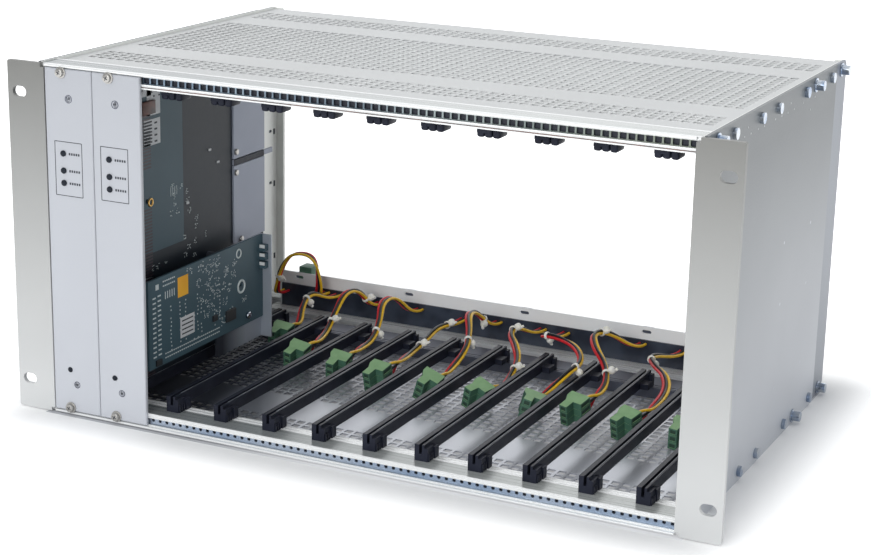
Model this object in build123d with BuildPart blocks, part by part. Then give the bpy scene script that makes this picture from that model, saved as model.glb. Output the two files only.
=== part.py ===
from build123d import *
import os
from math import pi, radians, tan

os.makedirs("parts", exist_ok=True)

# A 19-inch card cage with twelve module slots, seen from the front: +X right, +Y back, +Z up.
# Its origin is the centre of the four rack slots, on the rear face of the mounting ears.

# Rack format
RACK_PITCH = 5.08            # one horizontal pitch of the rack
SLOT_PITCHES = 7             # pitches that one module takes
SLOT_COUNT = 12
SCREW_PITCHES = 2.5          # from a slot's left edge to its screw and its card guide
RACK_WIDTH = 482.6
RACK_SLOT_SPAN = 465.1       # between the ear slots, across
RACK_SLOT_RISE = 190.5       # between the ear slots, up
RACK_SLOT_LENGTH = 10.3
RACK_SLOT_HEIGHT = 7.0

# Side panels
BODY_WIDTH = 438.0
SIDE_THICK = 2.5
SIDE_HEIGHT = 231.0
SIDE_DEPTH = 291.0
SIDE_STEP_Y = 264.0          # where the outer face steps in towards the back
SIDE_STEP = 0.9
SIDE_FLANGE = 6.0
SIDE_TOP_RADIUS = 5.5
SIDE_CORNER_DEEP = 10.0
SIDE_CORNER_TALL = 6.0
SIDE_KEY_LENGTH = 4.0
SIDE_KEY_HEIGHT = 2.0
SIDE_KEY_DEEP = 1.2
SIDE_KEY_SETBACK = 12.0      # from the panel's back edge
SIDE_KEY_HEIGHTS = (78.8, 21.3, -18.8, -76.3)

# Mounting ears
EAR_SHORTER = 1.0            # how much less tall an ear is than a side panel
EAR_HEIGHT = SIDE_HEIGHT - EAR_SHORTER
EAR_THICK = 3.0
EAR_LAP = 3.1                # how far an ear reaches inside the side panel
EAR_LEG_THICK = 2.0
EAR_LEG_DEPTH = 16.0
EAR_LEG_CLEAR = 1.0          # between the ear's leg and the rails
EAR_CORNER = 1.5
EAR_NOTCH = 2.6

# Heights of the rail sections, measured from the middle of the cage
RAIL_BELOW_SIDE = 0.7        # from a side panel's edge to the front rails' outer surface
FRONT_RAIL_TALL = 9.8
COVER_BELOW_RAIL = 2.1       # from the front rails' outer surface to a cover's inner surface
RAIL_OUT = SIDE_HEIGHT / 2 - RAIL_BELOW_SIDE
RAIL_IN = RAIL_OUT - FRONT_RAIL_TALL    # deck that the card guides stand on
COVER_IN = RAIL_OUT - COVER_BELOW_RAIL  # inner surface of a cover sheet
COVER_THICK = 1.0

# Front rails
FRONT_RAIL_DEPTH = 23.0
LIP_REACH = 2.8
LIP_THICK = 1.5
LIP_ROUND = 0.6
LIP_END_GAP = 0.2
LIP_CUT_TALL = 6.0
COVER_FRONT = 17.0           # where the cover begins
COVER_FIT = 0.2
STRIP_MOUTH_BELOW = 2.3      # from a front rail's outer surface to the strip's mouth
STRIP_MOUTH_TALL = 4.5
STRIP_MOUTH_OUT = RAIL_OUT - STRIP_MOUTH_BELOW
STRIP_MOUTH_IN = STRIP_MOUTH_OUT - STRIP_MOUTH_TALL
STRIP_WALL = 1.5
STRIP_FIT = 0.15
CORE_BELOW = 4.8             # from a front rail's outer surface to the middle of a screw core
CORE_HEIGHT = RAIL_OUT - CORE_BELOW
CORE_BORE = 4.2
FRONT_CORE_Y = 17.0
HOLLOW_WALL = 1.8
GROOVE_WIDTH = 1.0
GROOVE_DEPTH = 0.5
GROOVE_PITCH = 3.6
FINE_GROOVE = 0.35
FINE_GROOVE_TURN = 45
FINE_GROOVE_PLACES = (1.0, 2.0)  # below the deck, down the rail's front

# Middle and rear rails
MIDDLE_RAIL_Y = 207.0
MIDDLE_RAIL_DEPTH = 23.0
MIDDLE_CORE_Y = 213.0
REAR_RAIL_Y = 266.0
REAR_RAIL_DEPTH = 22.0
REAR_CORE_Y = 278.0
REAR_LEDGE_REACH = 16.0
REAR_LEDGE_TALL = 4.0
REAR_LEDGE_HEIGHT = COVER_IN - REAR_LEDGE_TALL
REAR_LEDGE_HALF = 203.0

# Threaded strips
STRIP_HEIGHT = 7.1
STRIP_THICK = 2.4
STRIP_BORE = 2.6
STRIP_BELOW = 4.6            # from a front rail's outer surface to a strip's middle
STRIP_CENTRE = RAIL_OUT - STRIP_BELOW

# Covers
COVER_SIDE_GAP = 0.3
COVER_FLANGE = 9.0
COVER_FLANGE_FIT = 0.8
COVER_BACK_GAP = 1.0
PERFORATION = 5.0            # width of a perforated slot
PERFORATION_PITCH = 7.0
PERFORATION_COLUMNS = 60
ZONE_FRONT = (51.0, 4, 1)    # centre, rows, slots that a column is cut into
ZONE_MIDDLE = (151.8, 17, 1)
ZONE_BACK = (252.6, 4, 1)

# Card guides
GUIDE_SHIFT = 1.0            # from a slot's screw to the left, to its guide's groove
GUIDE_LEFT = 4.0             # from the groove's middle to the left face
GUIDE_RIGHT = 2.5
GUIDE_FRONT = 9.3
GUIDE_END_LAP = 5.0          # how far a guide reaches over the middle rail
GUIDE_HEIGHT = 10.5
GUIDE_UNDER = 3.2            # clear height under a guide, between its feet
GUIDE_FLOOR = 1.4
# Feet: front, back, how far right of the groove, and height of its bottom and top over the deck
GUIDE_FEET = (
    (9.3, 17.5, 4.9, 0.0, 8.5),
    (17.5, 22.6, 6.0, 0.0, 7.5),
    (191.0, 200.0, 8.0, 3.2, 7.0),
    (208.0, 212.0, 4.9, 0.0, 8.5),
)
BOARD_THICK = 1.6
BOARD_FIT = 0.3
BOARD_EDGE_FIT = 0.3

# Module panels
MODULE_COUNT = 2
PANEL_WIDTH = 35.2
PANEL_BELOW = 2.2            # from a front rail's outer surface to a panel's edge
PANEL_HEIGHT = 2 * (RAIL_OUT - PANEL_BELOW)
PANEL_THICK = 2.5
PANEL_EDGE = 0.5
PANEL_SCREW_HEIGHT = STRIP_CENTRE
PANEL_SCREW_BORE = 3.4
LED_BORE = 2.0
LED_DEEP = 1.2
LED_HEIGHTS = (58.9, 47.9, 39.9)
RING_BORE = 4.0
RING_HEIGHT = 93.9
RING_OFFSET = 17.9           # from a slot's left edge
PORT_BORE = 3.0
PORT_HEIGHT = -84.3

# Module boards
BOARD_DEPTH = 182.0
BRASS_BORE = 3.2
BRASS_PLACE = (36.9, 23.9)
CONNECTOR_DEPTH = 11.0
CONNECTOR_WIDTH = 9.5
CONNECTOR_LOW = 6.0          # from the board's middle to a connector
CONNECTOR_FIT = 0.5          # between a connector and the guides' height
CONNECTOR_HIGH = RAIL_IN - GUIDE_HEIGHT - CONNECTOR_FIT
CONNECTOR_HEIGHT = CONNECTOR_HIGH - CONNECTOR_LOW
CONNECTOR_CENTRE = (CONNECTOR_HIGH + CONNECTOR_LOW) / 2

# Shield plates on the second module's board
SHIELD_THICK = 1.3
SHIELD_FRONT = 141.0
SHIELD_FIT = 0.3             # between the upper plate and the upper guide
SHIELD_UPPER = (31.9, RAIL_IN - GUIDE_HEIGHT - SHIELD_FIT)
SHIELD_LOWER = (-28.1, 26.8)
SHIELD_TAB = (27.6, 31.1)
SHIELD_TAB_REACH = 11.0

# Daughter board of the second module, and its bracket
DAUGHTER_GAP = 13.5          # between the two boards
DAUGHTER_FRONT = 14.0
DAUGHTER_DEPTH = 142.0
DAUGHTER_LOW = -82.2
DAUGHTER_TOP = -22.6
BRACKET_THICK = 1.2
BRACKET_FRONT = 97.0
BRACKET_LOW = -97.1
BRACKET_FLANGE = 9.5
STANDOFF_DIAMETER = 5.0
STANDOFF_INSET = 6.0
BRACKET_STANDOFF_INSET = 12.0
TERMINAL_SIZE = 4.6
TERMINAL_PITCH = 6.2
TERMINAL_TOP = -31.6
TERMINAL_COUNT = 3
DAUGHTER_SLOT = (125.1, -52.3)
DAUGHTER_SLOT_SIZE = (6.0, 2.4)

# Screws
RAIL_SCREW_DIAMETER = 3.9
RAIL_SCREW_HEAD = 6.5
RAIL_SCREW_HEAD_TALL = 5.0
RAIL_SCREW_REACH = 10.0
WASHER_DIAMETER = 9.0
WASHER_THICK = 0.9
COVER_SCREW_DIAMETER = 2.9
COVER_SCREW_HEAD = 6.8
COVER_SCREW_HEAD_TALL = 2.4
COVER_SCREW_REACH = 3.0
COVER_SCREW_BELOW = 5.9      # from a front rail's outer surface to a cover screw
COVER_SCREW_HEIGHT = RAIL_OUT - COVER_SCREW_BELOW
COVER_SCREW_PLACES = (46.0, 97.0, 131.5, 191.5, 251.0)
SCREW_FIT = 0.4              # added to a screw's diameter in a clearance hole
CAPTIVE_HEAD = 5.6
CAPTIVE_HEAD_TALL = 3.0
CAPTIVE_SHANK = 2.3
CAPTIVE_SLOT = 0.8
CAPTIVE_SLOT_TURN = 30

# Rear mounting plate, power board and feed terminal
REAR_PLATE_THICK = 1.5
REAR_PLATE_HALF = 199.0
REAR_PLATE_TALL = 26.7
REAR_PLATE_SLOT = (7.0, 2.5)
REAR_PLATE_SLOT_PITCH = 93.5
REAR_PLATE_SLOT_COUNT = 5
REAR_PLATE_SLOT_DROP = 3.6
REAR_PLATE_SLOT_SHIFT = 4.3
POWER_BOARD_HALF = 197.0
POWER_BOARD_TALL = 17.4
FEED_POLES = 2
FEED_DEPTH = 11.0
FEED_TALL = 14.5
FEED_CENTRE = -178.3
FEED_ABOVE = 4.5             # how far the terminal stands above the plate

# Pluggable wire connectors, lying on the bottom cover
POLE_PITCH = 5.08
PLUG_POLES = 3
PLUG_DEPTH = 17.5
PLUG_WIDTH = 14.4
PLUG_BODY_DEPTH = 10.3
PLUG_NOSE_LEFT = 2.6
PLUG_NOSE_RIGHT = 8.4
PLUG_SOCKET = 2.8
PLUG_SOCKET_DEEP = 4.0
PLUG_WIRE_SIDE = 10.6        # of the wire entries, across the plug

# Wiring harness
BUNDLE = 4.0                 # diameter of three wires side by side
TIE_WIDTH = 2.4
TIE_FIT = 0.15
TIE_THICK = 0.9
TIE_HEAD = 2.6
TIE_HEAD_WIDTH = 3.9
TIE_SIDES = 6
ARC_SHARE = 0.45             # of a route's run that the arc at its end may take
LEAD_IN = 14.0               # straight run out of a plug or into the power board

# Each plug: its nose on the floor (x, y), then how far it leans over, noses down and turns
PLUG_PLACES = (
    ((-157.5, 171.0), (6, 10, 0)),
    ((-124.6, 136.8), (8, 16, -5)),
    ((-87.5, 129.8), (8, 16, 0)),
    ((-54.6, 125.6), (0, 16, -10)),
    ((-17.9, 123.6), (20, 14, -5)),
    ((17.6, 126.0), (14, 12, -20)),
    ((60.5, 118.8), (16, 0, 10)),
    ((87.0, 130.2), (0, 16, -15)),
    ((125.0, 122.3), (0, 16, -20)),
    ((163.0, 121.0), (4, 10, -5)),
)

# Each harness drop, from its plug to the power board: points between the two straight ends,
# across, back and above the bottom cover
DROP_ROUTES = (
    ((-153, 217, 21.7), (-155, 233, 27.7)),
    ((-116, 188, 15.7), (-119, 206, 25.7), (-120, 222, 35.7), (-116, 237, 33.7)),
    ((-76, 182, 16.7), (-80, 200, 25.7), (-87, 216, 34.7), (-85, 233, 34.7)),
    ((-43, 181, 14.7), (-45, 203, 15.7), (-46, 226, 19.7)),
    ((-2, 180, 22.7), (-9, 199, 29.7), (-19, 217, 35.7), (-20, 234, 32.7)),
    ((37, 166, 13.7), (35, 184, 18.7), (26, 200, 23.7), (14, 216, 26.7), (12, 233, 26.7)),
    ((78, 168, 22.2), (80, 189, 24.2), (68, 206, 28.7), (50, 213, 30.7), (36, 217, 28.3)),
    ((105, 170, 19.7), (97, 187, 25.7), (83, 201, 32.7), (76, 217, 36.7), (82, 234, 32.7)),
    ((146, 172, 18.7), (139, 190, 23.7), (124, 206, 24.7), (115, 224, 24.7)),
    ((177, 172, 17.7), (180, 192, 23.7), (178, 212, 26.7), (172, 232, 24.7)),
)
# Where each drop meets the power board: across, and above the bottom cover
DROP_ENDS = (
    (-148, 18.7), (-112, 17.7), (-79, 17.7), (-43, 15.7), (-15, 17.7),
    (20, 17.7), (38, 17.7), (96, 18.7), (126, 17.7), (162, 15.7),
)
FEED_START = (-193, 15.7)
FEED_ROUTE = (
    (-191, 244.5, 24.7), (-187, 245, 39.2), (-178, 246, 51.7),
    (-158.5, 246, 51.7), (-154, 245, 29.7),
)
FEED_END = (-158, 19.2)
# Ties: the route's run that each one sits on, for every drop, counted from the plug
DROP_TIES = (
    (2,), (2, 5), (2,), (2, 4), (2, 5), (2, 5), (2, 5), (2, 5), (4,), (2,),
)
FEED_TIES = (2,)

# Places worked out from the sizes above
CELL = RACK_PITCH * SLOT_PITCHES
ROW_LEFT = -CELL * SLOT_COUNT / 2
SIDE_OUT_X = BODY_WIDTH / 2
SIDE_IN_X = SIDE_OUT_X - SIDE_THICK
SCREW_XS = [ROW_LEFT + CELL * i + RACK_PITCH * SCREW_PITCHES for i in range(SLOT_COUNT)]
EAR_IN_X = SIDE_IN_X - EAR_LAP
RAIL_END_X = SIDE_IN_X
COVER_HALF = SIDE_IN_X - COVER_SIDE_GAP
COVER_OUT = COVER_IN + COVER_THICK
GUIDE_BACK = MIDDLE_RAIL_Y + GUIDE_END_LAP
GUIDE_TOP = RAIL_IN - GUIDE_HEIGHT
BOARD_HALF = RAIL_IN - GUIDE_UNDER - GUIDE_FLOOR - BOARD_EDGE_FIT
REAR_WALL_Y = REAR_RAIL_Y - REAR_PLATE_THICK
POWER_BOARD_Y = REAR_WALL_Y - BOARD_THICK
FLOOR = -COVER_IN
BOARD_XS = [x - GUIDE_SHIFT for x in SCREW_XS]
MAIN_FACE_X = BOARD_XS[1] + BOARD_THICK / 2
DAUGHTER_X = MAIN_FACE_X + DAUGHTER_GAP
BRACKET_Y = DAUGHTER_FRONT + DAUGHTER_DEPTH
PANEL_XS = [ROW_LEFT + CELL * i + CELL / 2 for i in range(MODULE_COUNT)]


def save(part, name):
    """Label a finished piece and write it."""
    part.label = name
    export_step(part, f"parts/{name}.step")


def mirrored(source, about):
    """The same piece on the other side of a plane."""
    with BuildPart() as twin:
        mirror(source.part, about=about)
    return twin


# Mounting ears: an angle whose leg lies against the side panel, between the rails
with BuildPart() as mounting_ear_right:
    ear_width = RACK_WIDTH / 2 - EAR_IN_X
    with BuildSketch(Plane.XZ):
        with Locations(((RACK_WIDTH / 2 + EAR_IN_X) / 2, 0)):
            Rectangle(ear_width, EAR_HEIGHT)
        with Locations(
            (EAR_IN_X + EAR_NOTCH / 2, (EAR_HEIGHT - EAR_NOTCH) / 2),
            (EAR_IN_X + EAR_NOTCH / 2, -(EAR_HEIGHT - EAR_NOTCH) / 2),
        ):
            Rectangle(EAR_NOTCH, EAR_NOTCH, mode=Mode.SUBTRACT)
        with Locations(
            (RACK_SLOT_SPAN / 2, RACK_SLOT_RISE / 2),
            (RACK_SLOT_SPAN / 2, -RACK_SLOT_RISE / 2),
        ):
            SlotOverall(RACK_SLOT_LENGTH, RACK_SLOT_HEIGHT, mode=Mode.SUBTRACT)
    extrude(amount=EAR_THICK)
    outer_corners = mounting_ear_right.edges().filter_by(Axis.Y).group_by(Axis.X)[-1]
    fillet(outer_corners, EAR_CORNER)
    leg_half = RAIL_IN - EAR_LEG_CLEAR
    with BuildSketch(Plane.XZ):
        with Locations((SIDE_IN_X - EAR_LEG_THICK / 2, 0)):
            Rectangle(EAR_LEG_THICK, leg_half * 2)
    extrude(amount=-EAR_LEG_DEPTH)

mounting_ear_left = mirrored(mounting_ear_right, Plane.YZ)

# Side panels: a flat sheet with a rear flange, its outer face stepped in near the back
RAIL_SCREW_PLACES = [
    (y, z)
    for y in (FRONT_CORE_Y, MIDDLE_CORE_Y, REAR_CORE_Y)
    for z in (CORE_HEIGHT, -CORE_HEIGHT)
]
COVER_SCREW_POINTS = [
    (y, z) for y in COVER_SCREW_PLACES for z in (COVER_SCREW_HEIGHT, -COVER_SCREW_HEIGHT)
]

with BuildPart() as side_panel_right:
    with BuildSketch(Plane.XY.offset(-SIDE_HEIGHT / 2)):
        with BuildLine():
            Polyline(
                (SIDE_IN_X, 0),
                (SIDE_OUT_X, 0),
                (SIDE_OUT_X, SIDE_STEP_Y),
                (SIDE_OUT_X - SIDE_STEP, SIDE_STEP_Y + SIDE_STEP),
                (SIDE_OUT_X - SIDE_STEP, SIDE_DEPTH),
                (SIDE_IN_X - SIDE_FLANGE, SIDE_DEPTH),
                (SIDE_IN_X - SIDE_FLANGE, SIDE_DEPTH - SIDE_THICK),
                (SIDE_IN_X, SIDE_DEPTH - SIDE_THICK),
                close=True,
            )
        make_face()
    extrude(amount=SIDE_HEIGHT)
    across = side_panel_right.edges().filter_by(Axis.X).group_by(Axis.Y)[-1]
    top_rear = across.sort_by(Axis.Z)[-1]
    fillet(top_rear, SIDE_TOP_RADIUS)
    with BuildSketch(Plane.YZ.offset(SIDE_IN_X - SIDE_FLANGE)):
        with BuildLine():
            Polyline(
                (SIDE_DEPTH, -SIDE_HEIGHT / 2),
                (SIDE_DEPTH, -SIDE_HEIGHT / 2 + SIDE_CORNER_TALL),
                (SIDE_DEPTH - SIDE_CORNER_DEEP, -SIDE_HEIGHT / 2),
                close=True,
            )
        make_face()
    extrude(amount=SIDE_FLANGE + SIDE_THICK, mode=Mode.SUBTRACT)
    with BuildSketch(Plane.YZ.offset(SIDE_IN_X)):
        with Locations(*RAIL_SCREW_PLACES):
            Circle((RAIL_SCREW_DIAMETER + SCREW_FIT) / 2)
        with Locations(*COVER_SCREW_POINTS):
            Circle((COVER_SCREW_DIAMETER + SCREW_FIT) / 2)
    extrude(amount=SIDE_THICK, mode=Mode.SUBTRACT)
    with BuildSketch(Plane.YZ.offset(SIDE_IN_X)):
        with Locations(*[(SIDE_DEPTH - SIDE_KEY_SETBACK, z) for z in SIDE_KEY_HEIGHTS]):
            Rectangle(SIDE_KEY_LENGTH, SIDE_KEY_HEIGHT)
    extrude(amount=SIDE_KEY_DEEP, mode=Mode.SUBTRACT)

side_panel_left = mirrored(side_panel_right, Plane.YZ)

# Front rails: the lip, the mouth and cavity of the threaded strip, a hollow and a screw core
with BuildPart() as front_rail_bottom:
    with BuildSketch(Plane.YZ.offset(-RAIL_END_X)) as front_section:
        with BuildLine():
            Polyline(
                (-LIP_REACH, -RAIL_OUT),
                (-LIP_REACH, -RAIL_OUT + LIP_THICK),
                (0, -RAIL_OUT + LIP_THICK),
                (0, -RAIL_IN),
                (FRONT_RAIL_DEPTH, -RAIL_IN),
                (FRONT_RAIL_DEPTH, -COVER_IN),
                (COVER_FRONT - COVER_FIT, -COVER_IN),
                (COVER_FRONT - COVER_FIT, -RAIL_OUT),
                close=True,
            )
        make_face()
        fillet(front_section.vertices().group_by(Axis.X)[0], LIP_ROUND)
        mouth_height = STRIP_MOUTH_OUT - STRIP_MOUTH_IN
        with Locations((STRIP_WALL / 2, -(STRIP_MOUTH_OUT + STRIP_MOUTH_IN) / 2)):
            Rectangle(STRIP_WALL, mouth_height, mode=Mode.SUBTRACT)
        cavity_depth = STRIP_THICK + 2 * STRIP_FIT
        with Locations((STRIP_WALL + cavity_depth / 2, -STRIP_CENTRE)):
            Rectangle(cavity_depth, STRIP_HEIGHT + 2 * STRIP_FIT, mode=Mode.SUBTRACT)
        hollow_front = STRIP_WALL + cavity_depth + HOLLOW_WALL
        hollow_back = FRONT_CORE_Y - CORE_BORE / 2 - HOLLOW_WALL
        hollow_low = RAIL_IN + HOLLOW_WALL
        hollow_high = RAIL_OUT - HOLLOW_WALL
        with Locations(((hollow_front + hollow_back) / 2, -(hollow_low + hollow_high) / 2)):
            Rectangle(hollow_back - hollow_front, hollow_high - hollow_low, mode=Mode.SUBTRACT)
        with Locations((FRONT_CORE_Y, -CORE_HEIGHT)):
            Circle(CORE_BORE / 2, mode=Mode.SUBTRACT)
        with Locations((FRONT_CORE_Y, -RAIL_IN), (FRONT_CORE_Y + GROOVE_PITCH, -RAIL_IN)):
            Rectangle(GROOVE_WIDTH, GROOVE_DEPTH * 2, mode=Mode.SUBTRACT)
        with Locations(*[(0, -RAIL_IN - drop) for drop in FINE_GROOVE_PLACES]):
            Rectangle(
                FINE_GROOVE, FINE_GROOVE, rotation=FINE_GROOVE_TURN, mode=Mode.SUBTRACT
            )
    extrude(amount=2 * RAIL_END_X)
    for side in (-1, 1):
        lip_end = (RAIL_END_X - EAR_IN_X) + LIP_END_GAP
        with Locations((side * (RAIL_END_X - lip_end / 2), -LIP_REACH / 2, -RAIL_OUT)):
            Box(lip_end, LIP_REACH, LIP_CUT_TALL, mode=Mode.SUBTRACT)

front_rail_top = mirrored(front_rail_bottom, Plane.XY)


def plain_rail(front, depth, core_y, ledge_reach):
    """A middle or rear rail of the lower row: a deck, a hollow and a screw core."""
    with BuildPart() as rail:
        with BuildSketch(Plane.YZ.offset(-RAIL_END_X)):
            with Locations((front + depth / 2, -(RAIL_IN + COVER_IN) / 2)):
                Rectangle(depth, COVER_IN - RAIL_IN)
            with Locations((core_y, -CORE_HEIGHT)):
                Circle(CORE_BORE / 2, mode=Mode.SUBTRACT)
            hollow_start = core_y + CORE_BORE / 2 + HOLLOW_WALL
            hollow_end = front + depth - HOLLOW_WALL
            hollow_tall = COVER_IN - RAIL_IN - 2 * HOLLOW_WALL
            with Locations(((hollow_start + hollow_end) / 2, -(RAIL_IN + COVER_IN) / 2)):
                Rectangle(hollow_end - hollow_start, hollow_tall, mode=Mode.SUBTRACT)
            first_groove = front + GROOVE_PITCH / 2
            with Locations((first_groove, -RAIL_IN), (first_groove + GROOVE_PITCH, -RAIL_IN)):
                Rectangle(GROOVE_WIDTH, GROOVE_DEPTH * 2, mode=Mode.SUBTRACT)
        extrude(amount=2 * RAIL_END_X)
        if ledge_reach > 0:
            ledge_tall = COVER_IN - REAR_LEDGE_HEIGHT
            with BuildSketch(Plane.YZ.offset(-REAR_LEDGE_HALF)):
                with Locations((front - ledge_reach / 2, -COVER_IN + ledge_tall / 2)):
                    Rectangle(ledge_reach, ledge_tall)
            extrude(amount=2 * REAR_LEDGE_HALF)
    return rail


middle_rail_bottom = plain_rail(MIDDLE_RAIL_Y, MIDDLE_RAIL_DEPTH, MIDDLE_CORE_Y, 0)
middle_rail_top = mirrored(middle_rail_bottom, Plane.XY)
rear_rail_bottom = plain_rail(REAR_RAIL_Y, REAR_RAIL_DEPTH, REAR_CORE_Y, REAR_LEDGE_REACH)
rear_rail_top = mirrored(plain_rail(REAR_RAIL_Y, REAR_RAIL_DEPTH, REAR_CORE_Y, 0), Plane.XY)

# Threaded strips: one in each front rail, tapped at every slot's screw
with BuildPart() as threaded_strips:
    with BuildSketch(Plane.XZ.offset(-(STRIP_WALL + STRIP_FIT))):
        with Locations((0, STRIP_CENTRE), (0, -STRIP_CENTRE)):
            Rectangle(2 * RAIL_END_X, STRIP_HEIGHT)
        with Locations(*[(x, z) for x in SCREW_XS for z in (STRIP_CENTRE, -STRIP_CENTRE)]):
            Circle(STRIP_BORE / 2, mode=Mode.SUBTRACT)
    extrude(amount=-STRIP_THICK)


# Covers: a sheet perforated in three zones, with a flange down each side between the rails
with BuildPart() as bottom_cover:
    cover_back = REAR_RAIL_Y + REAR_RAIL_DEPTH - COVER_BACK_GAP
    with BuildSketch(Plane.XY.offset(-COVER_OUT)):
        with Locations((0, (COVER_FRONT + cover_back) / 2)):
            Rectangle(2 * COVER_HALF, cover_back - COVER_FRONT)
        for zone_centre, zone_rows, zone_cuts in (ZONE_FRONT, ZONE_MIDDLE, ZONE_BACK):
            zone_length = (zone_rows - 1) * PERFORATION_PITCH + PERFORATION
            web = PERFORATION_PITCH - PERFORATION
            cut_length = (zone_length + web) / zone_cuts - web
            with Locations((0, zone_centre)):
                with GridLocations(
                    PERFORATION_PITCH, cut_length + web, PERFORATION_COLUMNS, zone_cuts
                ):
                    Rectangle(PERFORATION, cut_length, mode=Mode.SUBTRACT)
    extrude(amount=COVER_THICK)
    flange_spans = (
        (FRONT_RAIL_DEPTH + COVER_FLANGE_FIT, MIDDLE_RAIL_Y - COVER_FLANGE_FIT),
        (
            MIDDLE_RAIL_Y + MIDDLE_RAIL_DEPTH + COVER_FLANGE_FIT,
            REAR_RAIL_Y - COVER_FLANGE_FIT,
        ),
    )
    for span_front, span_back in flange_spans:
        for side in (-1, 1):
            flange_x = side * (COVER_HALF - COVER_THICK / 2)
            flange_z = -COVER_OUT + COVER_FLANGE / 2
            with Locations((flange_x, (span_front + span_back) / 2, flange_z)):
                Box(COVER_THICK, span_back - span_front, COVER_FLANGE)
    for y, z in COVER_SCREW_POINTS:
        with Locations(Plane.YZ.offset(-SIDE_IN_X) * Location((y, z, 0))):
            Cylinder(
                (COVER_SCREW_DIAMETER + SCREW_FIT) / 2,
                2 * SIDE_IN_X,
                align=(Align.CENTER, Align.CENTER, Align.MIN),
                mode=Mode.SUBTRACT,
            )

top_cover = mirrored(bottom_cover, Plane.XY)


# Card guides: a channel that holds a board's edge, with feet at both ends
def card_guide(x):
    """A lower guide for one slot, on the front and middle rails."""
    with BuildPart() as guide:
        groove = BOARD_THICK + BOARD_FIT
        body_low = -RAIL_IN + GUIDE_UNDER
        with BuildSketch(Plane.XZ.offset(-GUIDE_FRONT)):
            with BuildLine():
                Polyline(
                    (x - GUIDE_LEFT, body_low),
                    (x - GUIDE_LEFT, -GUIDE_TOP),
                    (x - groove / 2, -GUIDE_TOP),
                    (x - groove / 2, body_low + GUIDE_FLOOR),
                    (x + groove / 2, body_low + GUIDE_FLOOR),
                    (x + groove / 2, -GUIDE_TOP),
                    (x + GUIDE_RIGHT, -GUIDE_TOP),
                    (x + GUIDE_RIGHT, body_low),
                    close=True,
                )
            make_face()
        extrude(amount=-(GUIDE_BACK - GUIDE_FRONT))
        for foot_front, foot_back, foot_right, foot_low, foot_top in GUIDE_FEET:
            foot_middle = (foot_front + foot_back) / 2
            foot_depth = foot_back - foot_front
            side_width = foot_right - GUIDE_RIGHT
            side_middle = (foot_right + GUIDE_RIGHT) / 2
            side_height = -RAIL_IN + (foot_low + foot_top) / 2
            with Locations((x + side_middle, foot_middle, side_height)):
                Box(side_width, foot_depth, foot_top - foot_low)
            if foot_low < GUIDE_UNDER:
                under_middle = (GUIDE_RIGHT - GUIDE_LEFT) / 2
                under_height = -RAIL_IN + GUIDE_UNDER / 2
                with Locations((x + under_middle, foot_middle, under_height)):
                    Box(GUIDE_RIGHT + GUIDE_LEFT, foot_depth, GUIDE_UNDER)
    return guide


guides_bottom = [card_guide(x) for x in BOARD_XS]

with BuildPart() as card_guides_top:
    for lower in guides_bottom:
        mirror(lower.part, about=Plane.XY)


# Module panels: a plate with its two screw holes, three lamps, a port and a test ring
def module_panel(slot):
    """The front panel of the module in one slot."""
    x_mid = PANEL_XS[slot]
    x_screw = SCREW_XS[slot]
    x_ring = ROW_LEFT + CELL * slot + RING_OFFSET
    with BuildPart() as panel:
        with BuildSketch(Plane.XZ):
            with Locations((x_mid, 0)):
                Rectangle(PANEL_WIDTH, PANEL_HEIGHT)
            with Locations((x_screw, PANEL_SCREW_HEIGHT), (x_screw, -PANEL_SCREW_HEIGHT)):
                Circle(PANEL_SCREW_BORE / 2, mode=Mode.SUBTRACT)
        extrude(amount=PANEL_THICK)
        chamfer(panel.faces().sort_by(Axis.Y)[0].outer_wire().edges(), PANEL_EDGE)
        with BuildSketch(Plane.XZ.offset(PANEL_THICK)):
            with Locations(*[(x_screw, z) for z in LED_HEIGHTS]):
                Circle(LED_BORE / 2)
            with Locations((x_screw, PORT_HEIGHT)):
                Circle(PORT_BORE / 2)
            with Locations((x_ring, RING_HEIGHT), (x_ring, -RING_HEIGHT)):
                Circle(RING_BORE / 2)
        extrude(amount=-LED_DEEP, mode=Mode.SUBTRACT)
    return panel


panels = [module_panel(slot) for slot in range(MODULE_COUNT)]


# Module boards: a card in its guides, with a backplane connector at the back
def module_board(slot):
    """The main board of one module."""
    x_mid = BOARD_XS[slot]
    with BuildPart() as board:
        with BuildSketch(Plane.YZ.offset(x_mid - BOARD_THICK / 2)):
            with Locations((BOARD_DEPTH / 2, 0)):
                Rectangle(BOARD_DEPTH, 2 * BOARD_HALF)
            with Locations(BRASS_PLACE):
                Circle(BRASS_BORE / 2, mode=Mode.SUBTRACT)
        extrude(amount=BOARD_THICK)
        for side in (-1, 1):
            with Locations(
                (
                    x_mid - BOARD_THICK / 2 - CONNECTOR_WIDTH / 2,
                    BOARD_DEPTH - CONNECTOR_DEPTH / 2,
                    side * CONNECTOR_CENTRE,
                )
            ):
                Box(CONNECTOR_WIDTH, CONNECTOR_DEPTH, CONNECTOR_HEIGHT)
    return board


boards = [module_board(slot) for slot in range(MODULE_COUNT)]

# Shield plates flat on the second board, at its back
with BuildPart() as rear_shield_plates:
    shield_depth = BOARD_DEPTH - SHIELD_FRONT
    for low, high in (SHIELD_UPPER, SHIELD_LOWER):
        with BuildSketch(Plane.YZ.offset(MAIN_FACE_X)):
            with Locations((SHIELD_FRONT + shield_depth / 2, (low + high) / 2)):
                Rectangle(shield_depth, high - low)
        extrude(amount=SHIELD_THICK)
    tab_depth = shield_depth + SHIELD_TAB_REACH
    tab_low, tab_high = SHIELD_TAB
    with BuildSketch(Plane.YZ.offset(MAIN_FACE_X)):
        with Locations((SHIELD_FRONT + tab_depth / 2, (tab_low + tab_high) / 2)):
            Rectangle(tab_depth, tab_high - tab_low)
    extrude(amount=SHIELD_THICK)

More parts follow.
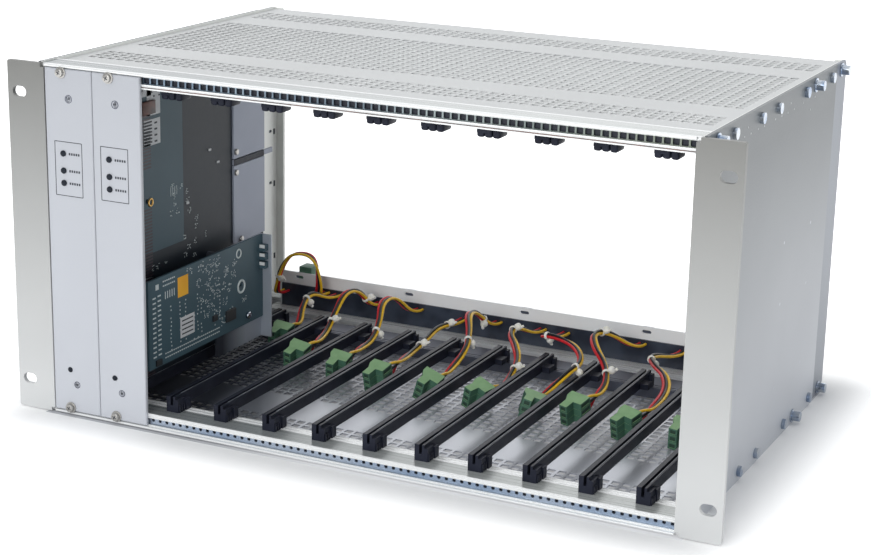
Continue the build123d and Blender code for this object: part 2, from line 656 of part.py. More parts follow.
# Daughter board, with a row of wire terminals at its back edge
DAUGHTER_MID = (DAUGHTER_LOW + DAUGHTER_TOP) / 2
STANDOFF_ZS = (DAUGHTER_LOW + STANDOFF_INSET, DAUGHTER_TOP - STANDOFF_INSET)
with BuildPart() as daughter_board:
    with BuildSketch(Plane.YZ.offset(DAUGHTER_X)):
        with Locations((DAUGHTER_FRONT + DAUGHTER_DEPTH / 2, DAUGHTER_MID)):
            Rectangle(DAUGHTER_DEPTH, DAUGHTER_TOP - DAUGHTER_LOW)
        with Locations(DAUGHTER_SLOT):
            SlotOverall(*DAUGHTER_SLOT_SIZE, mode=Mode.SUBTRACT)
    extrude(amount=BOARD_THICK)
    for pole in range(TERMINAL_COUNT):
        with Locations(
            (
                DAUGHTER_X + BOARD_THICK + TERMINAL_SIZE / 2,
                BRACKET_Y - TERMINAL_SIZE / 2,
                TERMINAL_TOP - pole * TERMINAL_PITCH,
            )
        ):
            Box(TERMINAL_SIZE, TERMINAL_SIZE, TERMINAL_SIZE)

# Bracket that carries the daughter board: a bent sheet and four standoffs
with BuildPart() as board_bracket:
    bracket_depth = BRACKET_Y - BRACKET_FRONT
    bracket_tall = DAUGHTER_TOP - BRACKET_LOW
    bracket_mid = (DAUGHTER_TOP + BRACKET_LOW) / 2
    with BuildSketch(Plane.YZ.offset(DAUGHTER_X - BRACKET_THICK)):
        with Locations((BRACKET_FRONT + bracket_depth / 2, bracket_mid)):
            Rectangle(bracket_depth, bracket_tall)
    extrude(amount=BRACKET_THICK)
    with BuildSketch(Plane.XZ.offset(-BRACKET_Y)):
        with Locations((DAUGHTER_X - BRACKET_THICK + BRACKET_FLANGE / 2, bracket_mid)):
            Rectangle(BRACKET_FLANGE, bracket_tall)
    extrude(amount=-BRACKET_THICK)
    with BuildSketch(Plane.YZ.offset(MAIN_FACE_X)):
        with Locations(*[(DAUGHTER_FRONT + STANDOFF_INSET, z) for z in STANDOFF_ZS]):
            Circle(STANDOFF_DIAMETER / 2)
    extrude(amount=DAUGHTER_GAP)
    with BuildSketch(Plane.YZ.offset(MAIN_FACE_X)):
        with Locations(*[(BRACKET_FRONT + BRACKET_STANDOFF_INSET, z) for z in STANDOFF_ZS]):
            Circle(STANDOFF_DIAMETER / 2)
    extrude(amount=DAUGHTER_GAP - BRACKET_THICK)

# Captive screws: a slotted head in front of the panel and a shank that ends in the rail's mouth
with BuildPart() as captive_screws:
    for slot in range(MODULE_COUNT):
        for z in (PANEL_SCREW_HEIGHT, -PANEL_SCREW_HEIGHT):
            with BuildSketch(Plane.XZ.offset(PANEL_THICK)):
                with Locations((SCREW_XS[slot], z)):
                    Circle(CAPTIVE_HEAD / 2)
            extrude(amount=CAPTIVE_HEAD_TALL)
            with BuildSketch(Plane.XZ.offset(PANEL_THICK)):
                with Locations((SCREW_XS[slot], z)):
                    Circle(CAPTIVE_SHANK / 2)
            extrude(amount=-(PANEL_THICK + STRIP_WALL + STRIP_FIT + STRIP_THICK))
            with BuildSketch(Plane.XZ.offset(PANEL_THICK + CAPTIVE_HEAD_TALL)):
                with Locations((SCREW_XS[slot], z)):
                    Rectangle(CAPTIVE_HEAD, CAPTIVE_SLOT, rotation=CAPTIVE_SLOT_TURN)
            extrude(amount=-CAPTIVE_SLOT, mode=Mode.SUBTRACT)

# Rail screws: a tall head on a washer, through the side panel into the rail's core
with BuildPart() as rail_screws:
    for x_face in (SIDE_OUT_X, -SIDE_OUT_X):
        outward = 1 if x_face > 0 else -1
        for y, z in RAIL_SCREW_PLACES:
            inset = SIDE_STEP if y > SIDE_STEP_Y else 0
            seat = x_face - outward * inset
            reach = SIDE_THICK - inset + RAIL_SCREW_REACH
            plane = Plane(origin=(seat, y, z), x_dir=(0, 1, 0), z_dir=(outward, 0, 0))
            with BuildSketch(plane):
                Circle(WASHER_DIAMETER / 2)
            extrude(amount=WASHER_THICK)
            with BuildSketch(plane.offset(WASHER_THICK)):
                Circle(RAIL_SCREW_HEAD / 2)
            extrude(amount=RAIL_SCREW_HEAD_TALL)
            with BuildSketch(plane):
                Circle(RAIL_SCREW_DIAMETER / 2)
            extrude(amount=-reach)

# Cover screws: low heads, through the side panels into the covers' flanges
with BuildPart() as cover_screws:
    for x_face in (SIDE_OUT_X, -SIDE_OUT_X):
        outward = 1 if x_face > 0 else -1
        for y, z in COVER_SCREW_POINTS:
            plane = Plane(origin=(x_face, y, z), x_dir=(0, 1, 0), z_dir=(outward, 0, 0))
            with BuildSketch(plane):
                Circle(COVER_SCREW_HEAD / 2)
            extrude(amount=COVER_SCREW_HEAD_TALL)
            with BuildSketch(plane):
                Circle(COVER_SCREW_DIAMETER / 2)
            extrude(amount=-(SIDE_THICK + COVER_SCREW_REACH))

# Rear mounting plate: an upright wall on the rear rail's ledge, against the rail
with BuildPart() as rear_mounting_plate:
    plate_low = -REAR_LEDGE_HEIGHT
    with BuildSketch(Plane.XZ.offset(-REAR_WALL_Y)):
        with Locations((0, plate_low + REAR_PLATE_TALL / 2)):
            Rectangle(2 * REAR_PLATE_HALF, REAR_PLATE_TALL)
        slot_height = plate_low + REAR_PLATE_TALL - REAR_PLATE_SLOT_DROP
        with Locations((REAR_PLATE_SLOT_SHIFT, slot_height)):
            with GridLocations(REAR_PLATE_SLOT_PITCH, 1, REAR_PLATE_SLOT_COUNT, 1):
                SlotOverall(*REAR_PLATE_SLOT, mode=Mode.SUBTRACT)
    extrude(amount=-REAR_PLATE_THICK)

# Power board, flat against the mounting plate, and the feed terminal behind the plate
with BuildPart() as power_board:
    with BuildSketch(Plane.XZ.offset(-POWER_BOARD_Y)):
        with Locations((0, plate_low + POWER_BOARD_TALL / 2)):
            Rectangle(2 * POWER_BOARD_HALF, POWER_BOARD_TALL)
    extrude(amount=-BOARD_THICK)
    feed_top = plate_low + REAR_PLATE_TALL + FEED_ABOVE
    with Locations((FEED_CENTRE, REAR_RAIL_Y + FEED_DEPTH / 2, feed_top - FEED_TALL / 2)):
        Box(FEED_POLES * POLE_PITCH, FEED_DEPTH, FEED_TALL)

# Pluggable connectors: a stepped body with its poles one above the other
PLUG_OUTLINE = (
    (PLUG_NOSE_LEFT, 0),
    (PLUG_NOSE_RIGHT, 0),
    (PLUG_NOSE_RIGHT, PLUG_DEPTH - PLUG_BODY_DEPTH),
    (PLUG_WIDTH, PLUG_DEPTH - PLUG_BODY_DEPTH),
    (PLUG_WIDTH, PLUG_DEPTH),
    (0, PLUG_DEPTH),
    (0, PLUG_DEPTH - PLUG_BODY_DEPTH / 2),
    (PLUG_NOSE_LEFT, PLUG_DEPTH - PLUG_BODY_DEPTH),
)
POLE_ZS = [POLE_PITCH * (pole + 0.5) for pole in range(PLUG_POLES)]
PLUG_NOSE_MID = (PLUG_NOSE_LEFT + PLUG_NOSE_RIGHT) / 2


def plug_plane(place, tilt):
    """The plane of a plug's lower side, with its lowest corner on the floor."""
    lean, nose_down, turn = tilt
    loose = Plane((place[0], place[1], 0)).rotated((nose_down, lean, turn))
    lowest = min(loose.x_dir.Z * x + loose.y_dir.Z * y for x, y in PLUG_OUTLINE)
    return Plane(
        origin=(place[0], place[1], FLOOR - lowest), x_dir=loose.x_dir, z_dir=loose.z_dir
    )


def plug(place, tilt):
    """One pluggable connector."""
    plane = plug_plane(place, tilt)
    with BuildPart() as body:
        with BuildSketch(plane):
            with BuildLine():
                Polyline(*PLUG_OUTLINE, close=True)
            make_face()
        extrude(amount=PLUG_POLES * POLE_PITCH)
        nose = Plane(plane.from_local_coords((0, 0, 0)), x_dir=plane.x_dir, z_dir=-plane.y_dir)
        with BuildSketch(nose):
            with Locations(*[(PLUG_NOSE_MID, z) for z in POLE_ZS]):
                Rectangle(PLUG_SOCKET, PLUG_SOCKET)
        extrude(amount=-PLUG_SOCKET_DEEP, mode=Mode.SUBTRACT)
    return body


plugs = [plug(place, tilt) for place, tilt in PLUG_PLACES]


# Wiring harness: each drop is one bundle of three wires, on straight runs joined by arcs
def corner_radii(points):
    """An arc at each corner of a route, as large as its two runs allow."""
    radii = []
    for before, corner, after in zip(points, points[1:], points[2:]):
        run_in = Vector(*corner) - Vector(*before)
        run_out = Vector(*after) - Vector(*corner)
        turn = radians(run_in.get_angle(run_out))
        radii.append(ARC_SHARE * min(run_in.length, run_out.length) / tan(turn / 2))
    return radii


def harness(points):
    """A bundle along a route, and how its volume compares with section times length."""
    radii = corner_radii(points)
    with BuildPart() as bundle:
        with BuildLine() as route:
            FilletPolyline(*points, radius=radii)
        start = Plane(origin=points[0], z_dir=Vector(*points[1]) - Vector(*points[0]))
        with BuildSketch(start):
            Circle(BUNDLE / 2)
        sweep()
    length = sum(edge.length for edge in route.edges())
    ideal = pi * (BUNDLE / 2) ** 2 * length
    print(
        "radii", [round(r, 1) for r in radii],
        "length", round(length, 1),
        "volume ratio", round(bundle.part.volume / ideal, 4),
    )
    return bundle


def drop_points(index):
    """The whole route of one drop, from its plug's back to the power board."""
    plane = plug_plane(*PLUG_PLACES[index])
    pole_mid = PLUG_POLES * POLE_PITCH / 2
    start = plane.from_local_coords((PLUG_WIRE_SIDE, PLUG_DEPTH, pole_mid))
    lead = plane.from_local_coords((PLUG_WIRE_SIDE, PLUG_DEPTH + LEAD_IN, pole_mid))
    end_x, end_above = DROP_ENDS[index]
    return [
        (start.X, start.Y, start.Z),
        (lead.X, lead.Y, lead.Z),
        *[(x, y, FLOOR + above) for x, y, above in DROP_ROUTES[index]],
        (end_x, POWER_BOARD_Y - LEAD_IN, FLOOR + end_above),
        (end_x, POWER_BOARD_Y, FLOOR + end_above),
    ]


ROUTES = [drop_points(index) for index in range(len(PLUG_PLACES))]
drops = [harness(points) for points in ROUTES]

feed_points = [
    (FEED_START[0], POWER_BOARD_Y, FLOOR + FEED_START[1]),
    (FEED_START[0], POWER_BOARD_Y - LEAD_IN, FLOOR + FEED_START[1]),
    *[(x, y, FLOOR + above) for x, y, above in FEED_ROUTE],
    (FEED_END[0], POWER_BOARD_Y - LEAD_IN, FLOOR + FEED_END[1]),
    (FEED_END[0], POWER_BOARD_Y, FLOOR + FEED_END[1]),
]
harness_feed = harness(feed_points)


# Cable ties: a band round the bundle with its head on one side
with BuildPart() as cable_ties:
    ties = [(ROUTES[index], run) for index, runs in enumerate(DROP_TIES) for run in runs]
    ties += [(feed_points, run) for run in FEED_TIES]
    for points, run in ties:
        run_start = Vector(*points[run])
        run_end = Vector(*points[run + 1])
        middle = (run_start + run_end) * 0.5
        band = Plane(origin=middle, z_dir=run_end - run_start)
        inner = BUNDLE / 2 + TIE_FIT
        with BuildSketch(band.offset(-TIE_WIDTH / 2)):
            RegularPolygon(inner + TIE_THICK, TIE_SIDES, major_radius=False)
            with Locations((0, inner + TIE_HEAD / 2)):
                Rectangle(TIE_HEAD_WIDTH, TIE_HEAD)
            RegularPolygon(inner, TIE_SIDES, major_radius=False, mode=Mode.SUBTRACT)
        extrude(amount=TIE_WIDTH)


save(side_panel_left.part, "side_panel_left")
save(side_panel_right.part, "side_panel_right")
save(mounting_ear_left.part, "mounting_ear_left")
save(mounting_ear_right.part, "mounting_ear_right")
save(front_rail_top.part, "front_rail_top")
save(front_rail_bottom.part, "front_rail_bottom")
save(middle_rail_top.part, "middle_rail_top")
save(middle_rail_bottom.part, "middle_rail_bottom")
save(rear_rail_top.part, "rear_rail_top")
save(rear_rail_bottom.part, "rear_rail_bottom")
save(threaded_strips.part, "threaded_strips")
save(top_cover.part, "top_cover")
save(bottom_cover.part, "bottom_cover")
save(rear_mounting_plate.part, "rear_mounting_plate")
save(power_board.part, "power_board")
for number, guide in enumerate(guides_bottom, start=1):
    save(guide.part, f"card_guide_bottom_{number:02d}")
save(card_guides_top.part, "card_guides_top")
for number, panel in enumerate(panels, start=1):
    save(panel.part, f"module_panel_{number}")
for number, board in enumerate(boards, start=1):
    save(board.part, f"module_board_{number}")
save(daughter_board.part, "daughter_board")
save(board_bracket.part, "board_bracket")
save(rear_shield_plates.part, "rear_shield_plates")
save(captive_screws.part, "captive_screws")
save(rail_screws.part, "rail_screws")
save(cover_screws.part, "cover_screws")
save(cable_ties.part, "cable_ties")
for number, body in enumerate(plugs):
    save(body.part, f"plug_{number}")
for number, bundle in enumerate(drops):
    save(bundle.part, f"harness_drop_{number}")
save(harness_feed.part, "harness_feed")
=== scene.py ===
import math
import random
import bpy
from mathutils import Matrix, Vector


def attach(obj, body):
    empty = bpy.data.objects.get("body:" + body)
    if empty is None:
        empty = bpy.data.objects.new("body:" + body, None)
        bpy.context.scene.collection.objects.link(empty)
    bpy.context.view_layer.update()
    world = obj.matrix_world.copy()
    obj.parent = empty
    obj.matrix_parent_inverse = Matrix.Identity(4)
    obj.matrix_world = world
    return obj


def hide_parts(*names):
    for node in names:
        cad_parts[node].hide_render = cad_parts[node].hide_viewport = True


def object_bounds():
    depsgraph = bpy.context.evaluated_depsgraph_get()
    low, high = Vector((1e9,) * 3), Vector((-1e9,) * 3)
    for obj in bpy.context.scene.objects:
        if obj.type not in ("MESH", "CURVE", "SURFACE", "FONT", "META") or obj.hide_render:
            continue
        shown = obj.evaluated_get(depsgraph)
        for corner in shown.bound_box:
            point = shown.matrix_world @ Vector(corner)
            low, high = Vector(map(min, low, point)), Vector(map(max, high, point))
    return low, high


bl_info = {
    "name": "Card cage dressing",
    "version": (1, 0, 0),
    "blender": (4, 5, 0),
    "location": "3D View > Sidebar > Card cage",
    "description": "Dresses a packed 19-inch card cage: covers, strips, guides, modules, plugs and wiring",
    "category": "Object",
}

import bmesh
import bpy
from bpy.props import FloatProperty, FloatVectorProperty, PointerProperty
from mathutils import Matrix, Vector

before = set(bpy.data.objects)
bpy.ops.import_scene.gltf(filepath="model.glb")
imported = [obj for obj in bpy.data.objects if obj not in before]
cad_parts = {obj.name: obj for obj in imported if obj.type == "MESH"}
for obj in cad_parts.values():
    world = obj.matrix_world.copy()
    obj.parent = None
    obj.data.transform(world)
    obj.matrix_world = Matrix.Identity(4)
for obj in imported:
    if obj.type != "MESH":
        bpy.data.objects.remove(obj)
CAD_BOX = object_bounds()

MM = 0.001
PITCH = 5.08
CELL = 7 * PITCH
ROW_LEFT = -6 * CELL
SCREW_XS = [ROW_LEFT + CELL * i + 2.5 * PITCH for i in range(12)]
FLOOR_Z = CAD_BOX[0][2]
MIDDLE_BACK = (CAD_BOX[0][1] + CAD_BOX[1][1]) / 2
HALF_BACK = (CAD_BOX[1][1] - CAD_BOX[0][1]) / 2
# In millimetres from the cage's middle: a side panel's outer face, the rails' and the covers' inner
# faces, and the middle of the threaded strips
SIDE_FACE = 219.0
RAIL_IN = 105.0
COVER_IN = 112.7
STRIP_Z = 110.2


# Shader maths
class Socket:
    """One output of a shader node, so that a pattern is written as plain sums."""

    def __init__(self, tree, link):
        self.tree = tree
        self.link = link

    def maths(self, operation, other=None, swap=False):
        node = self.tree.nodes.new("ShaderNodeMath")
        node.operation = operation
        pair = (other, self) if swap else (self, other)
        for socket, value in zip(node.inputs, pair):
            if isinstance(value, Socket):
                self.tree.links.new(value.link, socket)
            elif value is not None:
                socket.default_value = value
        return Socket(self.tree, node.outputs[0])

    def __add__(self, other):
        return self.maths("ADD", other)

    __radd__ = __add__

    def __sub__(self, other):
        return self.maths("SUBTRACT", other)

    def __rsub__(self, other):
        return self.maths("SUBTRACT", other, swap=True)

    def __mul__(self, other):
        return self.maths("MULTIPLY", other)

    __rmul__ = __mul__

    def __lt__(self, other):
        return self.maths("LESS_THAN", other)

    def __gt__(self, other):
        return self.maths("GREATER_THAN", other)


class Finish:
    """A material built on one Principled shader."""

    def __init__(self, name, colour, roughness, metallic=0.0, more=()):
        self.material = bpy.data.materials.new(name)
        self.material.use_nodes = True
        self.material.diffuse_color = (*colour, 1.0)
        self.tree = self.material.node_tree
        self.shader = self.tree.nodes["Principled BSDF"]
        self.shader.inputs["Base Color"].default_value = (*colour, 1.0)
        self.shader.inputs["Roughness"].default_value = roughness
        self.shader.inputs["Metallic"].default_value = metallic
        for key, value in more:
            self.shader.inputs[key].default_value = value
        self.place = self.node("ShaderNodeTexCoord", output="Object")

    def node(self, kind, settings=None, sockets=None, output=0):
        """A node: its settings first, then the values or links of its sockets."""
        node = self.tree.nodes.new(kind)
        for key, value in (settings or {}).items():
            setattr(node, key, value)
        for key, value in (sockets or {}).items():
            if isinstance(value, Socket):
                self.tree.links.new(value.link, node.inputs[key])
            else:
                node.inputs[key].default_value = value
        return Socket(self.tree, node.outputs[output])

    def axis(self, index):
        """A distance along the object's own X, Y or Z: 0, 1 or 2."""
        return self.node("ShaderNodeSeparateXYZ", sockets={"Vector": self.place}, output=index)

    def stretched(self, scale):
        return self.node("ShaderNodeMapping", sockets={"Vector": self.place, "Scale": scale})

    def noise(self, scale, detail=2.0, vector=None):
        sockets = {"Vector": vector or self.place, "Scale": scale, "Detail": detail}
        return self.node("ShaderNodeTexNoise", sockets=sockets)

    def mix(self, factor, first, second):
        """Two colours mixed by a factor."""
        sockets = {0: factor}
        for key, value in ((6, first), (7, second)):
            sockets[key] = value if isinstance(value, Socket) else (*value, 1.0)
        return self.node("ShaderNodeMix", {"data_type": "RGBA"}, sockets, output=2)

    def blend(self, value, low, high, first=0.0, last=1.0, kind="LINEAR"):
        """A value's range from low to high, as a number from first to last."""
        sockets = {"Value": value, "From Min": low, "From Max": high, "To Min": first, "To Max": last}
        return self.node("ShaderNodeMapRange", {"interpolation_type": kind}, sockets)

    def cloud(self, scale, detail=2.0, low=0.3, high=0.7):
        return self.blend(self.noise(scale, detail), low, high)

    def feed(self, name, socket):
        self.tree.links.new(socket.link, self.shader.inputs[name])

    def colour(self, socket):
        self.feed("Base Color", socket)

    def rough(self, socket):
        self.feed("Roughness", socket)

    def bump(self, height, strength, distance):
        sockets = {"Height": height, "Strength": strength, "Distance": distance}
        self.feed("Normal", self.node("ShaderNodeBump", sockets=sockets))


FINISHES = {}


def finish_of(name):
    """A finish's material by its name, made the first time that it is asked for."""
    if name not in FINISHES:
        maker, *facts = FINISH_MAKERS.get(name) or (mottled, *MOTTLED[name])
        FINISHES[name] = maker(name, *facts)
    return FINISHES[name].material


def shaded(colour, share):
    return tuple(part * share for part in colour)


def mottled(name, colour, roughness, metallic=0.0, tint=None, gloss=None, grain=None, more=()):
    """A cloudy colour between two shades, an uneven gloss and a fine grain, each where it is given."""
    finish = Finish(name, colour, roughness, metallic, more)
    if tint:
        cloud, first, second = tint
        finish.colour(finish.mix(finish.cloud(*cloud), first, second))
    if gloss:
        scale, share, least = gloss
        finish.rough(finish.noise(scale) * share + least)
    if grain:
        scale, strength, depth = grain
        finish.bump(finish.noise(scale), strength, depth)
    return finish


def anodised(name, colour, roughness, metallic, grain, shaded_top=None):
    """Satin anodised sheet: a faint cloudiness, a fine matt grain, and, where a colour for it is given,
    painted shade that darkens the sheet towards its top.
    """
    finish = Finish(name, colour, roughness, metallic)
    fine = finish.noise(SHEET_GRAIN)
    shade = finish.mix(finish.cloud(*SHEET_CLOUD), shaded(colour, 0.94), colour)
    # Painted shade: the colour goes darker from the floor up to the top of the cage.
    if shaded_top:
        shade = finish.mix(finish.blend(finish.axis(2), FLOOR_Z, -FLOOR_Z), shade, shaded_top)
    finish.colour(shade)
    finish.rough(fine * 0.1 + (roughness - 0.05))
    finish.bump(fine, grain, 0.0002)
    return finish


def extruded(name, colour, roughness, metallic):
    """Extruded aluminium: faint die lines that run along X."""
    finish = Finish(name, colour, roughness, metallic)
    lines = finish.noise(1.0, 3.0, finish.stretched((2.0, 1400.0, 1400.0)))
    wide = finish.noise(1.0, 1.0, finish.stretched((3.0, 60.0, 60.0)))
    worn = finish.blend(lines * 0.6 + wide * 0.4, 0.3, 0.7)
    finish.colour(finish.mix(worn, shaded(colour, 0.98), colour))
    finish.rough(lines * 0.10 + (roughness - 0.05))
    finish.bump(lines, 0.02, 0.0002)
    return finish


SHEET_GRAIN = 900.0
SHEET_CLOUD = (9.0, 3.0, 0.35, 0.65)
# In metres: where a side panel steps in, its crease and the crease's half width, and its inner face
SIDE_STEP = 0.264
CREASE = SIDE_STEP + 0.001
CREASE_HALF = 0.0007
INNER_FACE = 0.2170
# Height in metres where the outer face's painted shade reaches its darkest
SIDE_SHADE_TOP = 0.09


def side_sheet(name):
    """Side panels: pale inside; outside, painted shade that darkens the face towards its top, a painted
    shade of its own on the strip set in at the back, and a painted shadow line in the crease.
    """
    finish = Finish(name, (0.45, 0.47, 0.51), 0.42, 0.2)
    back = finish.axis(1)
    fine = finish.noise(SHEET_GRAIN)
    cloud = finish.cloud(*SHEET_CLOUD)
    # Painted shade: the outer face goes from a lit grey near the floor to a dark grey at its top.
    low = finish.mix(cloud, (0.54, 0.56, 0.60), (0.58, 0.60, 0.64))
    high = finish.mix(cloud, (0.160, 0.172, 0.180), (0.178, 0.190, 0.198))
    outer = finish.mix(finish.blend(finish.axis(2), FLOOR_Z, SIDE_SHADE_TOP), low, high)
    # Painted shade on the set-in strip behind the step, and a painted shadow line along its crease.
    outer = finish.mix(back > SIDE_STEP, outer, (0.27, 0.29, 0.33))
    outer = finish.mix((back - CREASE).maths("ABSOLUTE") < CREASE_HALF, outer, (0.16, 0.17, 0.20))
    inside = finish.axis(0).maths("ABSOLUTE") < INNER_FACE
    finish.colour(finish.mix(inside, outer, (0.86, 0.87, 0.84)))
    finish.rough(fine * 0.1 + 0.37)
    finish.bump(fine, 0.10, 0.0002)
    return finish


def floor_sheet(name):
    """Bottom cover: a pale sheet, with painted shade and a painted reflection of the dark boards at its
    left end, beside the modules.
    """
    finish = anodised(name, (0.68, 0.69, 0.73), 0.30, 0.45, 0.03)
    cloud = finish.cloud(14.0)
    # Painted shade and reflection where the modules shade the sheet, and the sheet as lit further right.
    board_shade = finish.mix(cloud, (0.06, 0.07, 0.10), (0.09, 0.10, 0.13))
    lit_sheet = finish.mix(cloud, (0.58, 0.60, 0.66), (0.66, 0.68, 0.73))
    finish.colour(finish.mix(finish.blend(finish.axis(0), -0.135, -0.045), board_shade, lit_sheet))
    return finish


# The front rails' deck, painted in shade, and the painted highlight band behind it, in metres from the
# ears' rear face
DECK_FRONT = 0.0008
DECK_BACK = 0.0152
HIGHLIGHT_BACK = 0.0229


def rail_metal(name):
    """Rails: a deck painted in shade, lighter to the right, with a painted highlight band along its back.
    """
    finish = extruded(name, (0.82, 0.82, 0.81), 0.28, 0.30)
    back = finish.axis(1)
    deck = (back > DECK_FRONT) * (back < DECK_BACK)
    # Painted shade on the deck, less of it to the right.
    grey = finish.mix(finish.blend(finish.axis(0), -0.16, 0.12), (0.24, 0.26, 0.27), (0.48, 0.50, 0.49))
    # Painted highlight along the band behind the deck.
    band = (back > DECK_BACK) * (back < HIGHLIGHT_BACK)
    painted_highlight = finish.mix(band, (0.82, 0.83, 0.83), (0.97, 0.98, 0.98))
    finish.colour(finish.mix(deck, painted_highlight, grey))
    return finish


def strip_olive(name):
    """Dark passivated strip: navy at its left end, olive grey at its right end."""
    finish = Finish(name, (0.30, 0.33, 0.32), 0.34, 0.75)
    cloud = finish.cloud(12.0, 2.0, 0.40, 0.60)
    navy = finish.mix(cloud, (0.10, 0.14, 0.20), (0.20, 0.26, 0.32))
    olive = finish.mix(cloud, (0.16, 0.18, 0.15), (0.28, 0.30, 0.25))
    finish.colour(finish.mix(finish.blend(finish.axis(0), -0.1, 0.2), navy, olive))
    finish.rough(finish.noise(400.0) * 0.2 + 0.22)
    return finish


def wire_coat(name, colour):
    """PVC insulation: soft gloss, with slight scuffs."""
    finish = Finish(name, colour, 0.40)
    scuff = finish.cloud(420.0, 3.0, 0.35, 0.7)
    finish.colour(finish.mix(scuff, shaded(colour, 0.82), colour))
    finish.rough(scuff * 0.14 + 0.34)
    return finish


def board_mask(name, dull, painted_highlight=None, back_edge=0.0, low_edge=0.0):
    """Solder mask, with a painted reflection that makes it lighter in front of one edge and above another
    where that is given.
    """
    finish = Finish(name, dull, 0.42, more=((SPECULAR, 0.25),))
    cloud = finish.cloud(11.0, 2.0, 0.35, 0.65)
    shade = finish.mix(cloud, dull, shaded(dull, 1.22))
    if painted_highlight:
        # Painted reflection: a lighter zone of the mask.
        inside = (finish.axis(1) < back_edge) * (finish.axis(2) > low_edge)
        shade = finish.mix(inside, shade, finish.mix(cloud, painted_highlight, shaded(painted_highlight, 1.18)))
    finish.colour(shade)
    finish.rough(finish.noise(300.0) * 0.1 + 0.38)
    return finish


def bracket_sheet(name, colour):
    """Bracket with painted shade that darkens it towards the front."""
    finish = anodised(name, colour, 0.40, 0.35, 0.08)
    # Painted shade towards the front.
    finish.colour(finish.mix(finish.blend(finish.axis(1), 0.105, 0.135), (0.035, 0.04, 0.055), colour))
    return finish


SPECULAR = "Specular IOR Level"
# The finishes with a maker of their own, and what that is told after the name
FINISH_MAKERS = {
    "side_sheet": (side_sheet,),
    "floor_sheet": (floor_sheet,),
    "rail_metal": (rail_metal,),
    "strip_olive": (strip_olive,),
    "bracket_sheet": (bracket_sheet, (0.40, 0.44, 0.50)),
    # The last colour of ear_sheet and panel_sheet is the painted shade at their tops.
    "ear_sheet": (anodised, (0.66, 0.67, 0.67), 0.40, 0.25, 0.10, (0.20, 0.20, 0.19)),
    "cover_sheet": (anodised, (0.635, 0.645, 0.645), 0.42, 0.10, 0.08),
    "panel_sheet": (anodised, (0.57, 0.59, 0.635), 0.45, 0.15, 0.10, (0.45, 0.465, 0.50)),
    "rail_inner": (extruded, (0.105, 0.115, 0.15), 0.38, 0.50),
    "wire_yellow": (wire_coat, (1.0, 0.60, 0.02)),
    "wire_red": (wire_coat, (0.72, 0.016, 0.026)),
    "wire_black": (wire_coat, (0.016, 0.018, 0.022)),
    # The second colour of board_dark is its painted reflection.
    "board_dark": (board_mask, (0.010, 0.016, 0.024), (0.044, 0.082, 0.104), 0.0796, -0.0116),
    "board_green": (board_mask, (0.055, 0.100, 0.125)),
}
